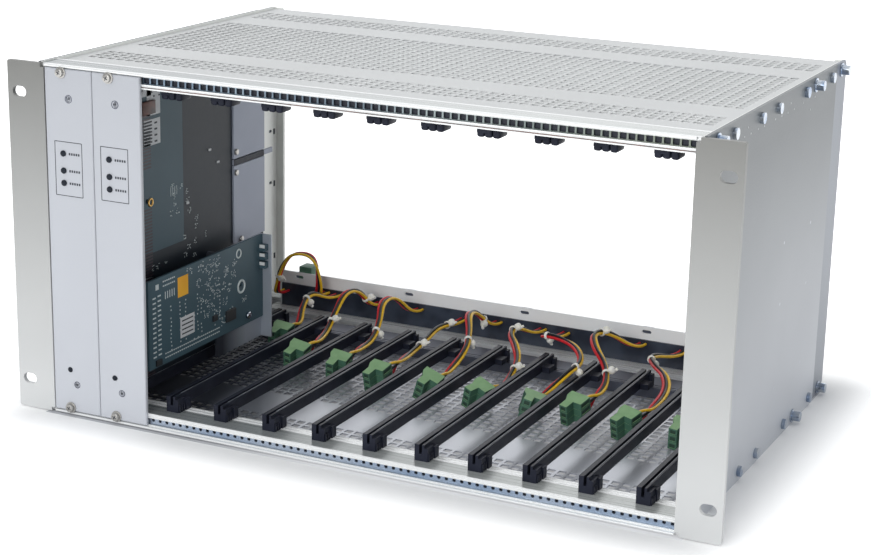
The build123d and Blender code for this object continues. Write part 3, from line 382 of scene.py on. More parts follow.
# The mottled ones: colour, roughness, metallic, tint (cloud, two shades), gloss (scale, share, least),
# grain (scale, strength, depth) and other sockets of the shader
MOTTLED = {
    "zinc": (
        (0.34, 0.40, 0.50), 0.24, 1.0,
        ((160.0, 2.0, 0.35, 0.65), (0.26, 0.33, 0.45), (0.50, 0.53, 0.56)), (500.0, 0.16, 0.14),
    ),
    "strip_zinc": (
        (0.42, 0.52, 0.68), 0.30, 0.80,
        ((14.0, 2.0, 0.40, 0.60), (0.30, 0.39, 0.53), (0.44, 0.51, 0.62)), (400.0, 0.2, 0.22),
    ),
    "white_plate": (
        (0.90, 0.92, 0.93), 0.55, 0.0, ((20.0, 3.0), (0.88, 0.90, 0.91), (0.94, 0.95, 0.96)), None,
        (1200.0, 0.12, 0.0001),
    ),
    "guide_plastic": (
        (0.016, 0.018, 0.028), 0.36, 0.0, ((70.0,), (0.012, 0.014, 0.024), (0.022, 0.025, 0.040)),
        (1500.0, 0.16, 0.28), (1500.0, 0.06, 0.0001), ((SPECULAR, 0.12),),
    ),
    "guide_shine": ((0.20, 0.22, 0.27), 0.3, 0.0, ((90.0,), (0.06, 0.07, 0.09), (0.34, 0.37, 0.42))),
    "plug_green": (
        (0.058, 0.150, 0.100), 0.50, 0.0, ((140.0,), (0.052, 0.135, 0.090), (0.072, 0.175, 0.115)),
        (900.0, 0.15, 0.44), (900.0, 0.10, 0.0002),
    ),
    # Painted light: a lighter green for the plugs' faces that look up
    "plug_end": ((0.24, 0.42, 0.20), 0.55, 0.0, ((160.0,), (0.22, 0.40, 0.19), (0.27, 0.46, 0.23))),
    # Painted shade in the gaps between the plugs' poles
    "plug_dark": ((0.022, 0.055, 0.036), 0.6),
    "tie_nylon": (
        (0.86, 0.84, 0.78), 0.45, 0.0, ((300.0,), (0.90, 0.88, 0.81), (0.97, 0.96, 0.90)), None, None,
        (("Subsurface Weight", 0.2), ("Subsurface Radius", (0.002, 0.002, 0.0015))),
    ),
    "shield_paint": (
        (0.34, 0.37, 0.45), 0.50, 0.15, ((16.0, 3.0), (0.32, 0.35, 0.43), (0.38, 0.41, 0.49)), None,
        (1100.0, 0.1, 0.0001),
    ),
    "chip_black": ((0.012, 0.014, 0.017), 0.55, 0.0, None, None, (1800.0, 0.2, 0.0001)),
    "brass": ((0.62, 0.38, 0.12), 0.32, 0.9, None, (600.0, 0.2, 0.22)),
    "nickel": ((0.40, 0.39, 0.37), 0.35, 0.9, None, (500.0, 0.2, 0.24)),
    "ceramic": (
        (0.09, 0.05, 0.04), 0.5, 0.0,
        ((90.0, 1.0, 0.4, 0.6), (0.045, 0.030, 0.028), (0.16, 0.075, 0.06)),
    ),
    "label_white": ((0.66, 0.68, 0.70), 0.6, 0.0, ((60.0,), (0.60, 0.62, 0.64), (0.72, 0.73, 0.74))),
    "label_amber": ((1.0, 0.47, 0.02), 0.5, 0.0, ((60.0,), (0.94, 0.44, 0.015), (1.0, 0.52, 0.03))),
    "terminal_white": ((0.78, 0.80, 0.80), 0.45, 0.0, None, (300.0, 0.2, 0.35)),
    "print_ink": ((0.035, 0.04, 0.05), 0.6, 0.0, None, (400.0, 0.2, 0.5)),
    "silk_ink": ((0.62, 0.68, 0.68), 0.6, 0.0, None, (400.0, 0.2, 0.5)),
    "lamp_lens": ((0.008, 0.012, 0.020), 0.45, 0.0, None, (500.0, 0.1, 0.4), None, ((SPECULAR, 0.2),)),
    # Black that stands for shade: behind the strips, in the captive screws' slots and beside the shield
    "deep_black": ((0.010, 0.013, 0.024), 0.6, 0.0, None, (300.0, 0.2, 0.5)),
    "power_mask": (
        (0.022, 0.030, 0.050), 0.40, 0.0,
        ((60.0, 2.0, 0.4, 0.6), (0.018, 0.024, 0.042), (0.040, 0.052, 0.078)),
    ),
    "pin_red": ((0.030, 0.018, 0.028), 0.5, 0.0, None, (500.0, 0.2, 0.35)),
    "dimple_shade": ((0.58, 0.60, 0.64), 0.4, 0.3, None, (400.0, 0.2, 0.4)),
}


# Modelling by hand
TURNS = {"X": (0, math.pi / 2, 0), "Y": (math.pi / 2, 0, 0), "Z": (0, 0, 0)}


def clear():
    """Nothing is selected, and Blender is in object mode."""
    if bpy.context.object and bpy.context.object.mode != "OBJECT":
        bpy.ops.object.mode_set(mode="OBJECT")
    bpy.ops.object.select_all(action="DESELECT")


def pick(obj):
    """The object alone is selected and active."""
    clear()
    obj.select_set(True)
    bpy.context.view_layer.objects.active = obj
    return obj


def settle(obj):
    """The object's place, turn and size go into its mesh."""
    pick(obj)
    bpy.ops.object.transform_apply(location=True, rotation=True, scale=True)
    return obj


def modify(obj, kind, **settings):
    """A modifier that is added and applied."""
    pick(obj)
    modifier = obj.modifiers.new(kind.lower(), kind)
    for key, value in settings.items():
        setattr(modifier, key, value)
    bpy.ops.object.modifier_apply(modifier=modifier.name)
    return obj


def editing(obj, chosen=lambda piece: True, mode="FACE"):
    """Edit mode with the chosen faces or edges selected; gives the mesh."""
    pick(obj)
    bpy.ops.object.mode_set(mode="EDIT")
    bpy.ops.mesh.select_mode(type=mode)
    bpy.ops.mesh.select_all(action="DESELECT")
    mesh = bmesh.from_edit_mesh(obj.data)
    for piece in mesh.faces if mode == "FACE" else mesh.edges:
        piece.select = chosen(piece)
    bmesh.update_edit_mesh(obj.data)
    return mesh


def done():
    bpy.ops.object.mode_set(mode="OBJECT")


def scaled(place):
    return [c * MM for c in place]


def block(size, centre, bevel=0.0, segments=2, turn=(0.0, 0.0, 0.0)):
    """A box in millimetres, with its edges rounded."""
    clear()
    bpy.ops.mesh.primitive_cube_add(size=1, location=scaled(centre), rotation=turn)
    obj = bpy.context.object
    obj.scale = scaled(size)
    settle(obj)
    if bevel:
        modify(obj, "BEVEL", width=bevel * MM, segments=segments, limit_method="ANGLE")
    return obj


def rod(diameter, length, centre, axis, sides=24, bevel=0.0):
    """A round bar in millimetres, along X, Y or Z."""
    clear()
    bpy.ops.mesh.primitive_cylinder_add(
        vertices=sides,
        radius=diameter / 2 * MM,
        depth=length * MM,
        location=scaled(centre),
        rotation=TURNS[axis],
    )
    obj = settle(bpy.context.object)
    if bevel:
        modify(obj, "BEVEL", width=bevel * MM, segments=2, limit_method="ANGLE", angle_limit=0.7)
    return obj


def ring(major, minor, centre, axis, around=32, across=10):
    clear()
    bpy.ops.mesh.primitive_torus_add(
        major_radius=major * MM,
        minor_radius=minor * MM,
        major_segments=around,
        minor_segments=across,
        location=scaled(centre),
        rotation=TURNS[axis],
    )
    return settle(bpy.context.object)


def joined(parts, name):
    """Several objects as one, under one name."""
    clear()
    for part in parts:
        part.select_set(True)
    bpy.context.view_layer.objects.active = parts[0]
    if len(parts) > 1:
        bpy.ops.object.join()
    obj = bpy.context.object
    obj.name = name
    obj.data.name = name
    return obj


def repeated(source, placings, name):
    """One mesh with a copy of the source at each placing; the source goes."""
    work = bmesh.new()
    for placing in placings:
        verts, faces = len(work.verts), len(work.faces)
        work.from_mesh(source.data)
        work.verts.ensure_lookup_table()
        for vert in work.verts[verts:]:
            vert.co = placing @ vert.co
        if placing.determinant() < 0:
            work.faces.ensure_lookup_table()
            bmesh.ops.reverse_faces(work, faces=work.faces[faces:])
    mesh = bpy.data.meshes.new(name)
    work.to_mesh(mesh)
    work.free()
    obj = bpy.data.objects.new(name, mesh)
    bpy.context.scene.collection.objects.link(obj)
    old = source.data
    bpy.data.objects.remove(source)
    bpy.data.meshes.remove(old)
    return obj


def at(x, y, z):
    return Matrix.Translation(scaled((x, y, z)))


def in_each_slot(source, name):
    return repeated(source, [at(x, 0, 0) for x in SCREW_XS], name)


def dress(obj, finish, replaces=(), smooth=True):
    """A finished piece: its finish, its body and the solids that it stands for."""
    obj.data.materials.clear()
    obj.data.materials.append(finish_of(finish))
    if smooth:
        pick(obj)
        bpy.ops.object.shade_smooth_by_angle(angle=math.radians(35))
    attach(obj, "root")
    if replaces:
        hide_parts(*replaces)
    return obj


def piece(parts, name, finish, slot=None, replaces=()):
    """Several parts as one finished piece."""
    return dress(joined(parts, name), finish, replaces)


# Settings
class CageSettings(bpy.types.PropertyGroup):
    hole: FloatProperty(
        name="Perforation", description="Width of a cover's square hole", default=0.005, unit="LENGTH"
    )
    hole_pitch: FloatProperty(
        name="Perforation pitch", description="Distance between two holes", default=0.007, unit="LENGTH"
    )
    wire: FloatProperty(
        name="Wire", description="Diameter of one wire over its insulation", default=0.0020, unit="LENGTH"
    )
    backdrop: FloatVectorProperty(
        name="Backdrop",
        description="Colour of the floor and backdrop",
        default=(0.93, 0.93, 0.93),
        subtype="COLOR",
    )


# Stage
CAMERA_PLACE = (0.535445, -0.991561, 0.328486)
CAMERA_YAW = -0.447608
CAMERA_PITCH = -0.278178
CAMERA_ROLL = 0.020934
CAMERA_LENS = 81.42
FLOOR_SIZE = 9.0
BACKDROP_TALL = 5.0
# Each lamp: its place, what it points at, its width and height in metres, and its power in watts
LAMPS = {
    "key": ((-0.9, -1.3, 1.9), (0, 0.1, 0), (2.4, 1.8), 11.0),
    "top": ((0.1, 0.35, 1.7), (0, 0.15, 0), (1.8, 1.2), 5.0),
    "fill": ((1.9, -0.5, 0.3), (0, 0.1, 0), (1.4, 1.0), 3.0),
    "front": ((0.1, -2.0, 0.70), (0, 0.2, -0.1), (1.4, 0.9), 20.0),
}


def place_camera():
    data = bpy.data.cameras.new("camera")
    data.sensor_width = 36.0
    data.sensor_fit = "HORIZONTAL"
    data.lens = CAMERA_LENS
    data.clip_start = 0.01
    data.clip_end = 50.0
    camera = bpy.data.objects.new("camera", data)
    bpy.context.scene.collection.objects.link(camera)
    forward = Vector(
        (
            math.sin(CAMERA_YAW) * math.cos(CAMERA_PITCH),
            math.cos(CAMERA_YAW) * math.cos(CAMERA_PITCH),
            math.sin(CAMERA_PITCH),
        )
    )
    level = Vector((math.cos(CAMERA_YAW), -math.sin(CAMERA_YAW), 0.0))
    upright = level.cross(forward)
    right = math.cos(CAMERA_ROLL) * level + math.sin(CAMERA_ROLL) * upright
    up = -math.sin(CAMERA_ROLL) * level + math.cos(CAMERA_ROLL) * upright
    turn = Matrix((right, up, -forward)).transposed()
    camera.matrix_world = Matrix.Translation(CAMERA_PLACE) @ turn.to_4x4()
    bpy.context.scene.camera = camera


def area_lamp(name, place, target, size, power):
    data = bpy.data.lights.new(name, "AREA")
    data.shape = "RECTANGLE"
    data.size, data.size_y = size
    data.energy = power
    lamp = bpy.data.objects.new(name, data)
    bpy.context.scene.collection.objects.link(lamp)
    lamp.location = place
    lamp.rotation_euler = (Vector(target) - Vector(place)).to_track_quat("-Z", "Y").to_euler()
    return lamp


def sky():
    """A white world that lights softly and shows plain white behind the object."""
    world = bpy.data.worlds.new("studio")
    bpy.context.scene.world = world
    world.use_nodes = True
    tree = world.node_tree
    tree.nodes.clear()
    output = tree.nodes.new("ShaderNodeOutputWorld")
    path = tree.nodes.new("ShaderNodeLightPath")
    light = tree.nodes.new("ShaderNodeBackground")
    shown = tree.nodes.new("ShaderNodeBackground")
    chosen = tree.nodes.new("ShaderNodeMixShader")
    light.inputs["Color"].default_value = (0.94, 0.97, 1.0, 1.0)
    light.inputs["Strength"].default_value = 0.50
    shown.inputs["Color"].default_value = (1.0, 1.0, 1.0, 1.0)
    shown.inputs["Strength"].default_value = 1.0
    either = Socket(tree, path.outputs["Is Camera Ray"]).maths(
        "MAXIMUM", Socket(tree, path.outputs["Is Transmission Ray"])
    )
    tree.links.new(either.link, chosen.inputs[0])
    tree.links.new(light.outputs[0], chosen.inputs[1])
    tree.links.new(shown.outputs[0], chosen.inputs[2])
    tree.links.new(chosen.outputs[0], output.inputs[0])


def paper(colour):
    """White paper that glows for the camera alone, with a painted shadow: it glows less beside the cage,
    and under the cage it is painted grey, with a painted glow that is least at the back and on the left.
    """
    finish = Finish("paper", colour, 0.9, more=(("Emission Strength", 1.0),))
    across, back = finish.axis(0), finish.axis(1)
    aside = (across.maths("ABSOLUTE") - SIDE_FACE * MM).maths("MAXIMUM", 0.0)
    ahead = ((back - MIDDLE_BACK).maths("ABSOLUTE") - HALF_BACK).maths("MAXIMUM", 0.0)
    away = (aside * aside + ahead * ahead).maths("SQRT")
    # Painted shadow: the glow fades out towards the cage.
    near = finish.blend(away, 0.0, 0.055, 0.0, 0.62, "SMOOTHSTEP")
    far = finish.blend(away, 0.05, 0.4, 0.0, 0.4, "SMOOTHSTEP")
    # Painted light under the cage, seen through the bottom cover
    below = finish.blend(back, 0.03, 0.22, 0.34, 0.07)
    lit = finish.blend(across, -0.12, 0.0, 0.08, 1.0, "SMOOTHSTEP")
    under = away < 0.0001
    # Painted shade: grey under the cage.
    finish.colour(finish.mix(under, colour, (0.45, 0.46, 0.49)))
    seen = finish.node("ShaderNodeLightPath", output="Is Camera Ray")
    seen = seen.maths("MAXIMUM", finish.node("ShaderNodeLightPath", output="Is Glossy Ray"))
    seen = seen * ((near + far) * (1 - under) + below * lit * under)
    finish.feed("Emission Color", finish.mix(seen, (0.0, 0.0, 0.0), (1.0, 1.0, 1.0)))
    return finish.material


class CAGE_OT_stage(bpy.types.Operator):
    """Floor, backdrop, lamps and camera"""

    bl_idname = "cage.stage"
    bl_label = "Stage"

    def execute(self, context):
        place_camera()
        sky()
        clear()
        bpy.ops.mesh.primitive_plane_add(size=FLOOR_SIZE, location=(0, 0, FLOOR_Z))
        floor = bpy.context.object
        floor.name = "floor"
        editing(floor, lambda line: all(v.co.y > 0 for v in line.verts), "EDGE")
        bpy.ops.mesh.extrude_region_move(TRANSFORM_OT_translate={"value": (0, 0, BACKDROP_TALL)})
        done()
        settle(floor)
        floor.data.materials.append(paper(tuple(context.scene.cage.backdrop)))
        lamps = [area_lamp(name, *facts) for name, facts in LAMPS.items()]
        context.scene.view_settings.view_transform = "Standard"
        return {"FINISHED"}


# Harness
# Points of each drop's middle line, in millimetres, from its plug to the power board
DROPS = (
    (
        (-146.2, 187.1, -102.4), (-146.2, 200.9, -100), (-153, 217, -91), (-155, 233, -85),
        (-148, 248.9, -94), (-148, 262.9, -94),
    ),
    (
        (-111.6, 151.1, -101.2), (-110.4, 164.5, -97.5), (-116, 188, -97), (-119, 206, -87),
        (-120, 222, -77), (-116, 237, -79), (-112, 248.9, -95), (-112, 262.9, -95),
    ),
    (
        (-75.9, 144.9, -100.9), (-75.9, 158.4, -97.1), (-76, 182, -96), (-80, 200, -87),
        (-87, 216, -78), (-85, 233, -78), (-79, 248.9, -95), (-79, 262.9, -95),
    ),
    (
        (-41.1, 138.3, -100.7), (-38.7, 151.6, -96.9), (-43, 181, -98), (-45, 203, -97),
        (-46, 226, -93), (-43, 248.9, -97), (-43, 262.9, -97),
    ),
    (
        (-3.9, 138.9, -102.2), (-2.8, 152.5, -99.3), (-2, 180, -90), (-9, 199, -83),
        (-19, 217, -77), (-20, 234, -80), (-15, 248.9, -95), (-15, 262.9, -95),
    ),
    (
        (34.9, 137.8, -103.2), (39.6, 150.9, -101.6), (37, 166, -99), (35, 184, -94),
        (26, 200, -89), (14, 216, -86), (12, 233, -86), (20, 248.9, -95),
        (20, 262.9, -95),
    ),
    (
        (69.7, 137.9, -103.9), (67.4, 151.7, -103.2), (78, 168, -90.5), (80, 189, -88.5),
        (68, 206, -84), (50, 213, -82), (36, 217, -84.4), (38, 248.9, -95),
        (38, 262.9, -95),
    ),
    (
        (101.8, 141.7, -100.9), (105.4, 154.7, -97.1), (105, 170, -93), (97, 187, -87),
        (83, 201, -80), (76, 217, -76), (82, 234, -80), (96, 248.9, -94),
        (96, 262.9, -94),
    ),
    (
        (140.9, 132.5, -101), (145.7, 145.2, -97.4), (146, 172, -94), (139, 190, -89),
        (124, 206, -88), (115, 224, -88), (126, 248.9, -95), (126, 262.9, -95),
    ),
    (
        (175.6, 136.1, -102.5), (176.8, 149.8, -100.1), (177, 172, -95), (180, 192, -89),
        (178, 212, -86), (172, 232, -88), (162, 248.9, -97), (162, 262.9, -97),
    ),
)
FEED = (
    (-193, 262.9, -97), (-193, 248.9, -97), (-191, 244.5, -88), (-187, 245, -73.5),
    (-178, 246, -61), (-158.5, 246, -61), (-154, 245, -83), (-158, 248.9, -93.5),
    (-158, 262.9, -93.5),
)
DROP_TIES = ((2,), (2, 5), (2,), (2, 4), (2, 5), (2, 5), (2, 5), (2, 5), (4,), (2,))
FEED_TIES = (2,)
# Each plug: its nose on the floor (x, y), then how far it leans over, noses down and turns
PLUG_PLACES = (
    ((-157.5, 171.0), (6, 10, 0)),
    ((-124.6, 136.8), (8, 16, -5)),
    ((-87.5, 129.8), (8, 16, 0)),
    ((-54.6, 125.6), (0, 16, -10)),
    ((-17.9, 123.6), (20, 14, -5)),
    ((17.6, 126.0), (14, 12, -20)),
    ((60.5, 118.8), (16, 0, 10)),
    ((87.0, 130.2), (0, 16, -15)),
    ((125.0, 122.3), (0, 16, -20)),
    ((163.0, 121.0), (4, 10, -5)),
)
# In millimetres: a plug's outline seen from its end, its wires' way in and where along it a wire's
# first two points lie, and how far a wire stops short of its end's place. Then the plug's poles.
PLUG_OUTLINE = (
    (2.6, 0), (8.4, 0), (8.4, 7.2), (14.4, 7.2), (14.4, 17.5), (0, 17.5), (0, 12.35), (2.6, 7.2),
)
WIRE_ENTRY = (10.6, 17.5)
ENTRY_POINTS = (-1.5, 4.0)
END_GAP = 0.2
POLES = 3


def plug_placing(place, tilt):
    """The plug's own frame, in millimetres, with its lowest corner on the cover."""
    lean, nose_down, turn = (math.radians(a) for a in tilt)
    spin = (
        Matrix.Rotation(nose_down, 4, "X")
        @ Matrix.Rotation(lean, 4, "Y")
        @ Matrix.Rotation(turn, 4, "Z")
    )
    lowest = min((spin @ Vector((x, y, 0))).z for x, y in PLUG_OUTLINE)
    return Matrix.Translation((place[0], place[1], -COVER_IN - lowest)) @ spin


def spline_of(name, points, radius):
    """A smooth wire on its control points."""
    data = bpy.data.curves.new(name, "CURVE")
    data.dimensions = "3D"
    data.resolution_u = 10
    data.bevel_depth = radius
    data.bevel_resolution = 3
    data.use_fill_caps = True
    spline = data.splines.new("NURBS")
    spline.points.add(len(points) - 1)
    for knot, point in zip(spline.points, points):
        knot.co = (*point, 1.0)
    spline.order_u = 3
    spline.use_endpoint_u = True
    obj = bpy.data.objects.new(name, data)
    bpy.context.scene.collection.objects.link(obj)
    return obj


def line_of(obj):
    """The points of a wire's own line, before it has a thickness."""
    bare = obj.data.copy()
    bare.bevel_depth = 0.0
    holder = bpy.data.objects.new("bare", bare)
    mesh = bpy.data.meshes.new_from_object(holder)
    line = [v.co.copy() for v in mesh.vertices]
    bpy.data.meshes.remove(mesh)
    bpy.data.objects.remove(holder)
    bpy.data.curves.remove(bare)
    return line


def side_of(points, index):
    """A route's own direction at one of its points, the level one across it, and the third."""
    before = points[max(index - 1, 0)]
    after = points[min(index + 1, len(points) - 1)]
    along = (after - before).normalized()
    across = along.cross(Vector((0, 0, 1)))
    if across.length < 0.2:
        across = Vector((1, 0, 0))
    across.normalize()
    return along, across, across.cross(along)


class CAGE_OT_harness(bpy.types.Operator):
    """Wires of the harness, each on its own spline, and the ties round them"""

    bl_idname = "cage.harness"
    bl_label = "Wiring"

    def execute(self, context):
        wire = context.scene.cage.wire
        routes = [[Vector(scaled(point)) for point in route] for route in (*DROPS, FEED)]
        ties = make_ties(routes)
        for index, route in enumerate(routes[:-1]):
            placing = plug_placing(*PLUG_PLACES[index])
            make_drop(f"drop_{index}", route, DROP_TIES[index], wire, placing)
        make_drop("feed", routes[-1], FEED_TIES, wire, None)
        return {"FINISHED"}


COLOURS = ("wire_red", "wire_black", "wire_yellow")
# How far each wire sits from the bundle's line, across and up, in wire diameters: held by a tie, and loose
TIED = ((-0.58, -0.30), (0.0, 0.62), (0.58, -0.30))
LOOSE = ((-1.05, 0.10), (0.0, 0.0), (1.05, 0.05))
SPREAD_AT_BOARD = 1.1
# Which way the ties' heads point round their bundles, by turns, in radians
HEAD_TURNS = (-0.9, 0.6)


def wire_points(route, lane, tied, wire, placing):
    """The control points of one wire, beside its bundle's route."""
    points = []
    last = len(route) - 1
    for index, point in enumerate(route):
        if placing is not None and index == 0:
            pole = PITCH * (lane + 0.5)
            for out in ENTRY_POINTS:
                points.append(placing @ Vector((WIRE_ENTRY[0], WIRE_ENTRY[1] + out, pole)) * MM)
        elif index >= last - 1:
            back = -END_GAP * MM if index == last else 0.0
            points.append(point + Vector(((lane - 1) * SPREAD_AT_BOARD * wire, back, 0)))
        else:
            _, across, up = side_of(route, index)
            aside, above = (TIED if index in tied else LOOSE)[lane]
            points.append(point + across * aside * wire + up * above * wire)
    return points


def make_drop(name, route, ties, wire, placing):
    """Three wires along one route."""
    tied = {*ties, *(run + 1 for run in ties)}
    for lane, colour in enumerate(COLOURS):
        points = wire_points(route, lane, tied, wire, placing)
        obj = spline_of(f"{name}_{colour}", points, wire / 2)
        line = line_of(obj)
        pick(obj)
        bpy.ops.object.convert(target="MESH")
        obj = bpy.context.object
        dress(obj, colour, replaces=[f"harness_{name}"])


def make_ties(routes):
    """One object of ties for each drop and for the feed."""
    made = []
    for index, (route, runs) in enumerate(zip(routes, (*DROP_TIES, FEED_TIES))):
        band = ring(2.35, 0.55, (0, 0, 0), "Z", around=24, across=6)
        band.scale = (1.0, 1.0, 2.1)
        settle(band)
        head = block((5.2, 4.8, 4.4), (0, 4.4, 0), 1.9, 4)
        tail = block((1.5, 2.6, 1.9), (1.3, 7.0, 0), 0.2, 1)
        turn = HEAD_TURNS[index % 2]
        placings = []
        for run in runs:
            start, end = route[run : run + 2]
            along, across, up = side_of([start, end], 0)
            side = (across * math.cos(turn) + up * math.sin(turn)).normalized()
            spin = Matrix((along.cross(side).normalized(), side, along)).transposed().to_4x4()
            placings.append(Matrix.Translation((start + end) / 2) @ spin)
        name = f"ties_{index}" if index < len(DROPS) else "ties_feed"
        ties = repeated(joined([band, head, tail], "tie"), placings, name)
        made.append(dress(ties, "tie_nylon", ["cable_ties"]))
    return made


# Plugs
class CAGE_OT_plugs(bpy.types.Operator):
    """Pluggable connectors with one moulded block for each pole"""

    bl_idname = "cage.plugs"
    bl_label = "Plugs"

    def execute(self, context):
        for index, (place, tilt) in enumerate(PLUG_PLACES):
            placing = Matrix.Scale(MM, 4) @ plug_placing(place, tilt)
            poles = [placing @ Matrix.Translation((0, 0, PITCH * k)) for k in range(POLES)]
            body = repeated(pole_body(), poles, f"plug_body_{index}")
            dress(body, "plug_green", [f"plug_{index}"])
            # Painted light: the faces that look up get a second, lighter copy of the green.
            body.data.materials.append(finish_of("plug_end"))
            for face in body.data.polygons:
                face.material_index = int(face.normal.z > 0.7 and face.area > 4e-6)
            core = repeated(pole_core(), [placing], f"plug_core_{index}")
            dress(core, "plug_dark")
        return {"FINISHED"}


def outline_solid(outline, low, high, inset=0.0):
    """An upright solid on an outline, in plain units of one millimetre."""
    clear()
    bpy.ops.mesh.primitive_circle_add(vertices=len(outline), radius=1.0, fill_type="NGON")
    obj = bpy.context.object
    middle = Vector((sum(p[0] for p in outline), sum(p[1] for p in outline))) / len(outline)
    for vert, (x, y) in zip(obj.data.vertices, outline):
        spot = Vector((x, y))
        spot += (middle - spot).normalized() * inset
        vert.co = (spot.x, spot.y, low)
    editing(obj)
    bpy.ops.mesh.extrude_region_move(TRANSFORM_OT_translate={"value": (0, 0, high - low)})
    bpy.ops.mesh.select_all(action="SELECT")
    bpy.ops.mesh.normals_make_consistent(inside=False)
    done()
    return obj


def recess(obj, chosen, share, depth):
    """The chosen faces are inset and pushed in."""
    editing(obj, chosen)
    bpy.ops.mesh.inset(thickness=share, depth=0, use_individual=True)
    bpy.ops.mesh.inset(thickness=0.05, depth=-depth, use_individual=True)
    done()


def pole_body():
    """One pole: stepped block with a wire entry, a socket and a screw recess."""
    body = outline_solid(PLUG_OUTLINE, 0.12, 4.96)
    recess(body, lambda f: f.normal.y > 0.9, 1.05, 2.0)
    recess(body, lambda f: f.normal.y < -0.9 and f.calc_center_median().y < 1.0, 1.0, 2.5)
    recess(body, lambda f: f.normal.x < -0.98 and f.calc_center_median().y > 10, 0.9, 1.2)
    recess(body, lambda f: f.normal.x > 0.98 and f.calc_center_median().y > 10, 1.0, 0.6)
    modify(body, "BEVEL", width=0.22, segments=1, limit_method="ANGLE", angle_limit=0.6)
    return body


def pole_core():
    """A dark core between the poles: painted shade in the gaps between them."""
    return outline_solid(PLUG_OUTLINE, 0.3, POLES * PITCH - 0.34, inset=0.45)


# Covers, in metres
# Each zone of holes: its middle and its rows
TOP_ZONES = ((0.051, 4), (0.1518, 17), (0.2526, 4))
BOTTOM_ZONES = ((0.0445, 3), (0.1518, 17), (0.2526, 4))
COVER_FRONT = 0.017
COVER_BACK = 0.287
COVER_HALF = 0.2162
COVER_THICK = 0.001
COVER_COLUMNS = 60


class CAGE_OT_covers(bpy.types.Operator):
    """Top and bottom covers with square perforation"""

    bl_idname = "cage.covers"
    bl_label = "Covers"

    def execute(self, context):
        settings = context.scene.cage
        for name, side, low, zones, finish in (
            ("top", 1, COVER_IN * MM, TOP_ZONES, "cover_sheet"),
            ("bottom", -1, -COVER_IN * MM - COVER_THICK, BOTTOM_ZONES, "floor_sheet"),
        ):
            sheet = perforated_sheet(settings.hole, settings.hole_pitch, low, zones)
            cover = joined([sheet, *cover_flanges(side)], f"cover_{name}")
            dress(cover, finish, [f"{name}_cover"])
        return {"FINISHED"}


def perforated_sheet(hole, pitch, low, zones):
    """A sheet: three grids of square holes and the plain bands round them."""
    half = COVER_COLUMNS * pitch / 2
    parts = []
    edges = [COVER_FRONT]
    for centre, rows in zones:
        clear()
        bpy.ops.mesh.primitive_grid_add(
            x_subdivisions=COVER_COLUMNS, y_subdivisions=rows, size=1, location=(0, centre, low)
        )
        grid = bpy.context.object
        grid.scale = (COVER_COLUMNS * pitch, rows * pitch, 1)
        editing(settle(grid))
        bpy.ops.mesh.inset(thickness=(pitch - hole) / 2, depth=0, use_individual=True)
        bpy.ops.mesh.delete(type="FACE")
        done()
        parts.append(grid)
        edges += [centre - rows * pitch / 2, centre + rows * pitch / 2]
    edges.append(COVER_BACK)
    for front, back in zip(edges[::2], edges[1::2]):
        parts.append(sheet_patch(-half, half, front, back, low))
    for side in (-1, 1):
        near, far = sorted((side * half, side * COVER_HALF))
        parts.append(sheet_patch(near, far, COVER_FRONT, COVER_BACK, low))
    sheet = joined(parts, "sheet")
    editing(sheet)
    bpy.ops.mesh.select_all(action="SELECT")
    bpy.ops.mesh.remove_doubles(threshold=0.00001)
    bpy.ops.mesh.normals_make_consistent(inside=False)
    done()
    upward = sheet.data.polygons[0].normal.z > 0
    return modify(sheet, "SOLIDIFY", thickness=COVER_THICK, offset=1.0 if upward else -1.0)


def sheet_patch(left, right, front, back, low):
    clear()
    bpy.ops.mesh.primitive_plane_add(size=1, location=((left + right) / 2, (front + back) / 2, low))
    obj = bpy.context.object
    obj.scale = (right - left, back - front, 1)
    return settle(obj)


def cover_flanges(side):
    """The turned-down side edges, one between each pair of rails."""
    parts = []
    for front, back in ((23.8, 206.2), (230.8, 265.2)):
        for x in (-215.7, 215.7):
            parts.append(block((1.0, back - front, 8.6), (x, (front + back) / 2, side * 108.8), 0.3, 2))
    return parts


# Strips
# Each strip: its name, height, finish, and its openings' width, height, corner and rise
STRIPS = (
    ("strip_top", STRIP_Z, "strip_olive", (4.0, 3.6, 0.5, 0.0)),
    ("strip_bottom", -STRIP_Z, "strip_zinc", (2.3, 2.2, 0.9, 0.6)),
)
STRIP_CELLS = 84
STRIP_LENGTH = STRIP_CELLS * PITCH
STRIP_FRONT = 1.65
STRIP_TALL = 7.1


class CAGE_OT_strips(bpy.types.Operator):
    """Threaded strips with a hole at every pitch"""

    bl_idname = "cage.strips"
    bl_label = "Threaded strips"

    def execute(self, context):
        for name, z, finish, opening in STRIPS:
            clear()
            bpy.ops.mesh.primitive_grid_add(x_subdivisions=STRIP_CELLS, y_subdivisions=1, size=1)
            strip = bpy.context.object
            strip.scale = (STRIP_LENGTH * MM, STRIP_TALL * MM, 1)
            strip.rotation_euler = TURNS["Y"]
            strip.location = scaled((0, STRIP_FRONT, z))
            open_cells(settle(strip), z, *opening)
            modify(strip, "SOLIDIFY", thickness=1.0 * MM, offset=-1.0)
            strip.name = name
            dress(strip, finish, ["threaded_strips"])
            # Painted shade: a black plate behind the openings stands for the dark hollow of the rail.
            shadow_plate = block((STRIP_LENGTH, 0.6, 6.4), (0, 3.5, z), 0.1, 1)
            piece([shadow_plate], f"{name}_backing", "deep_black")
        return {"FINISHED"}


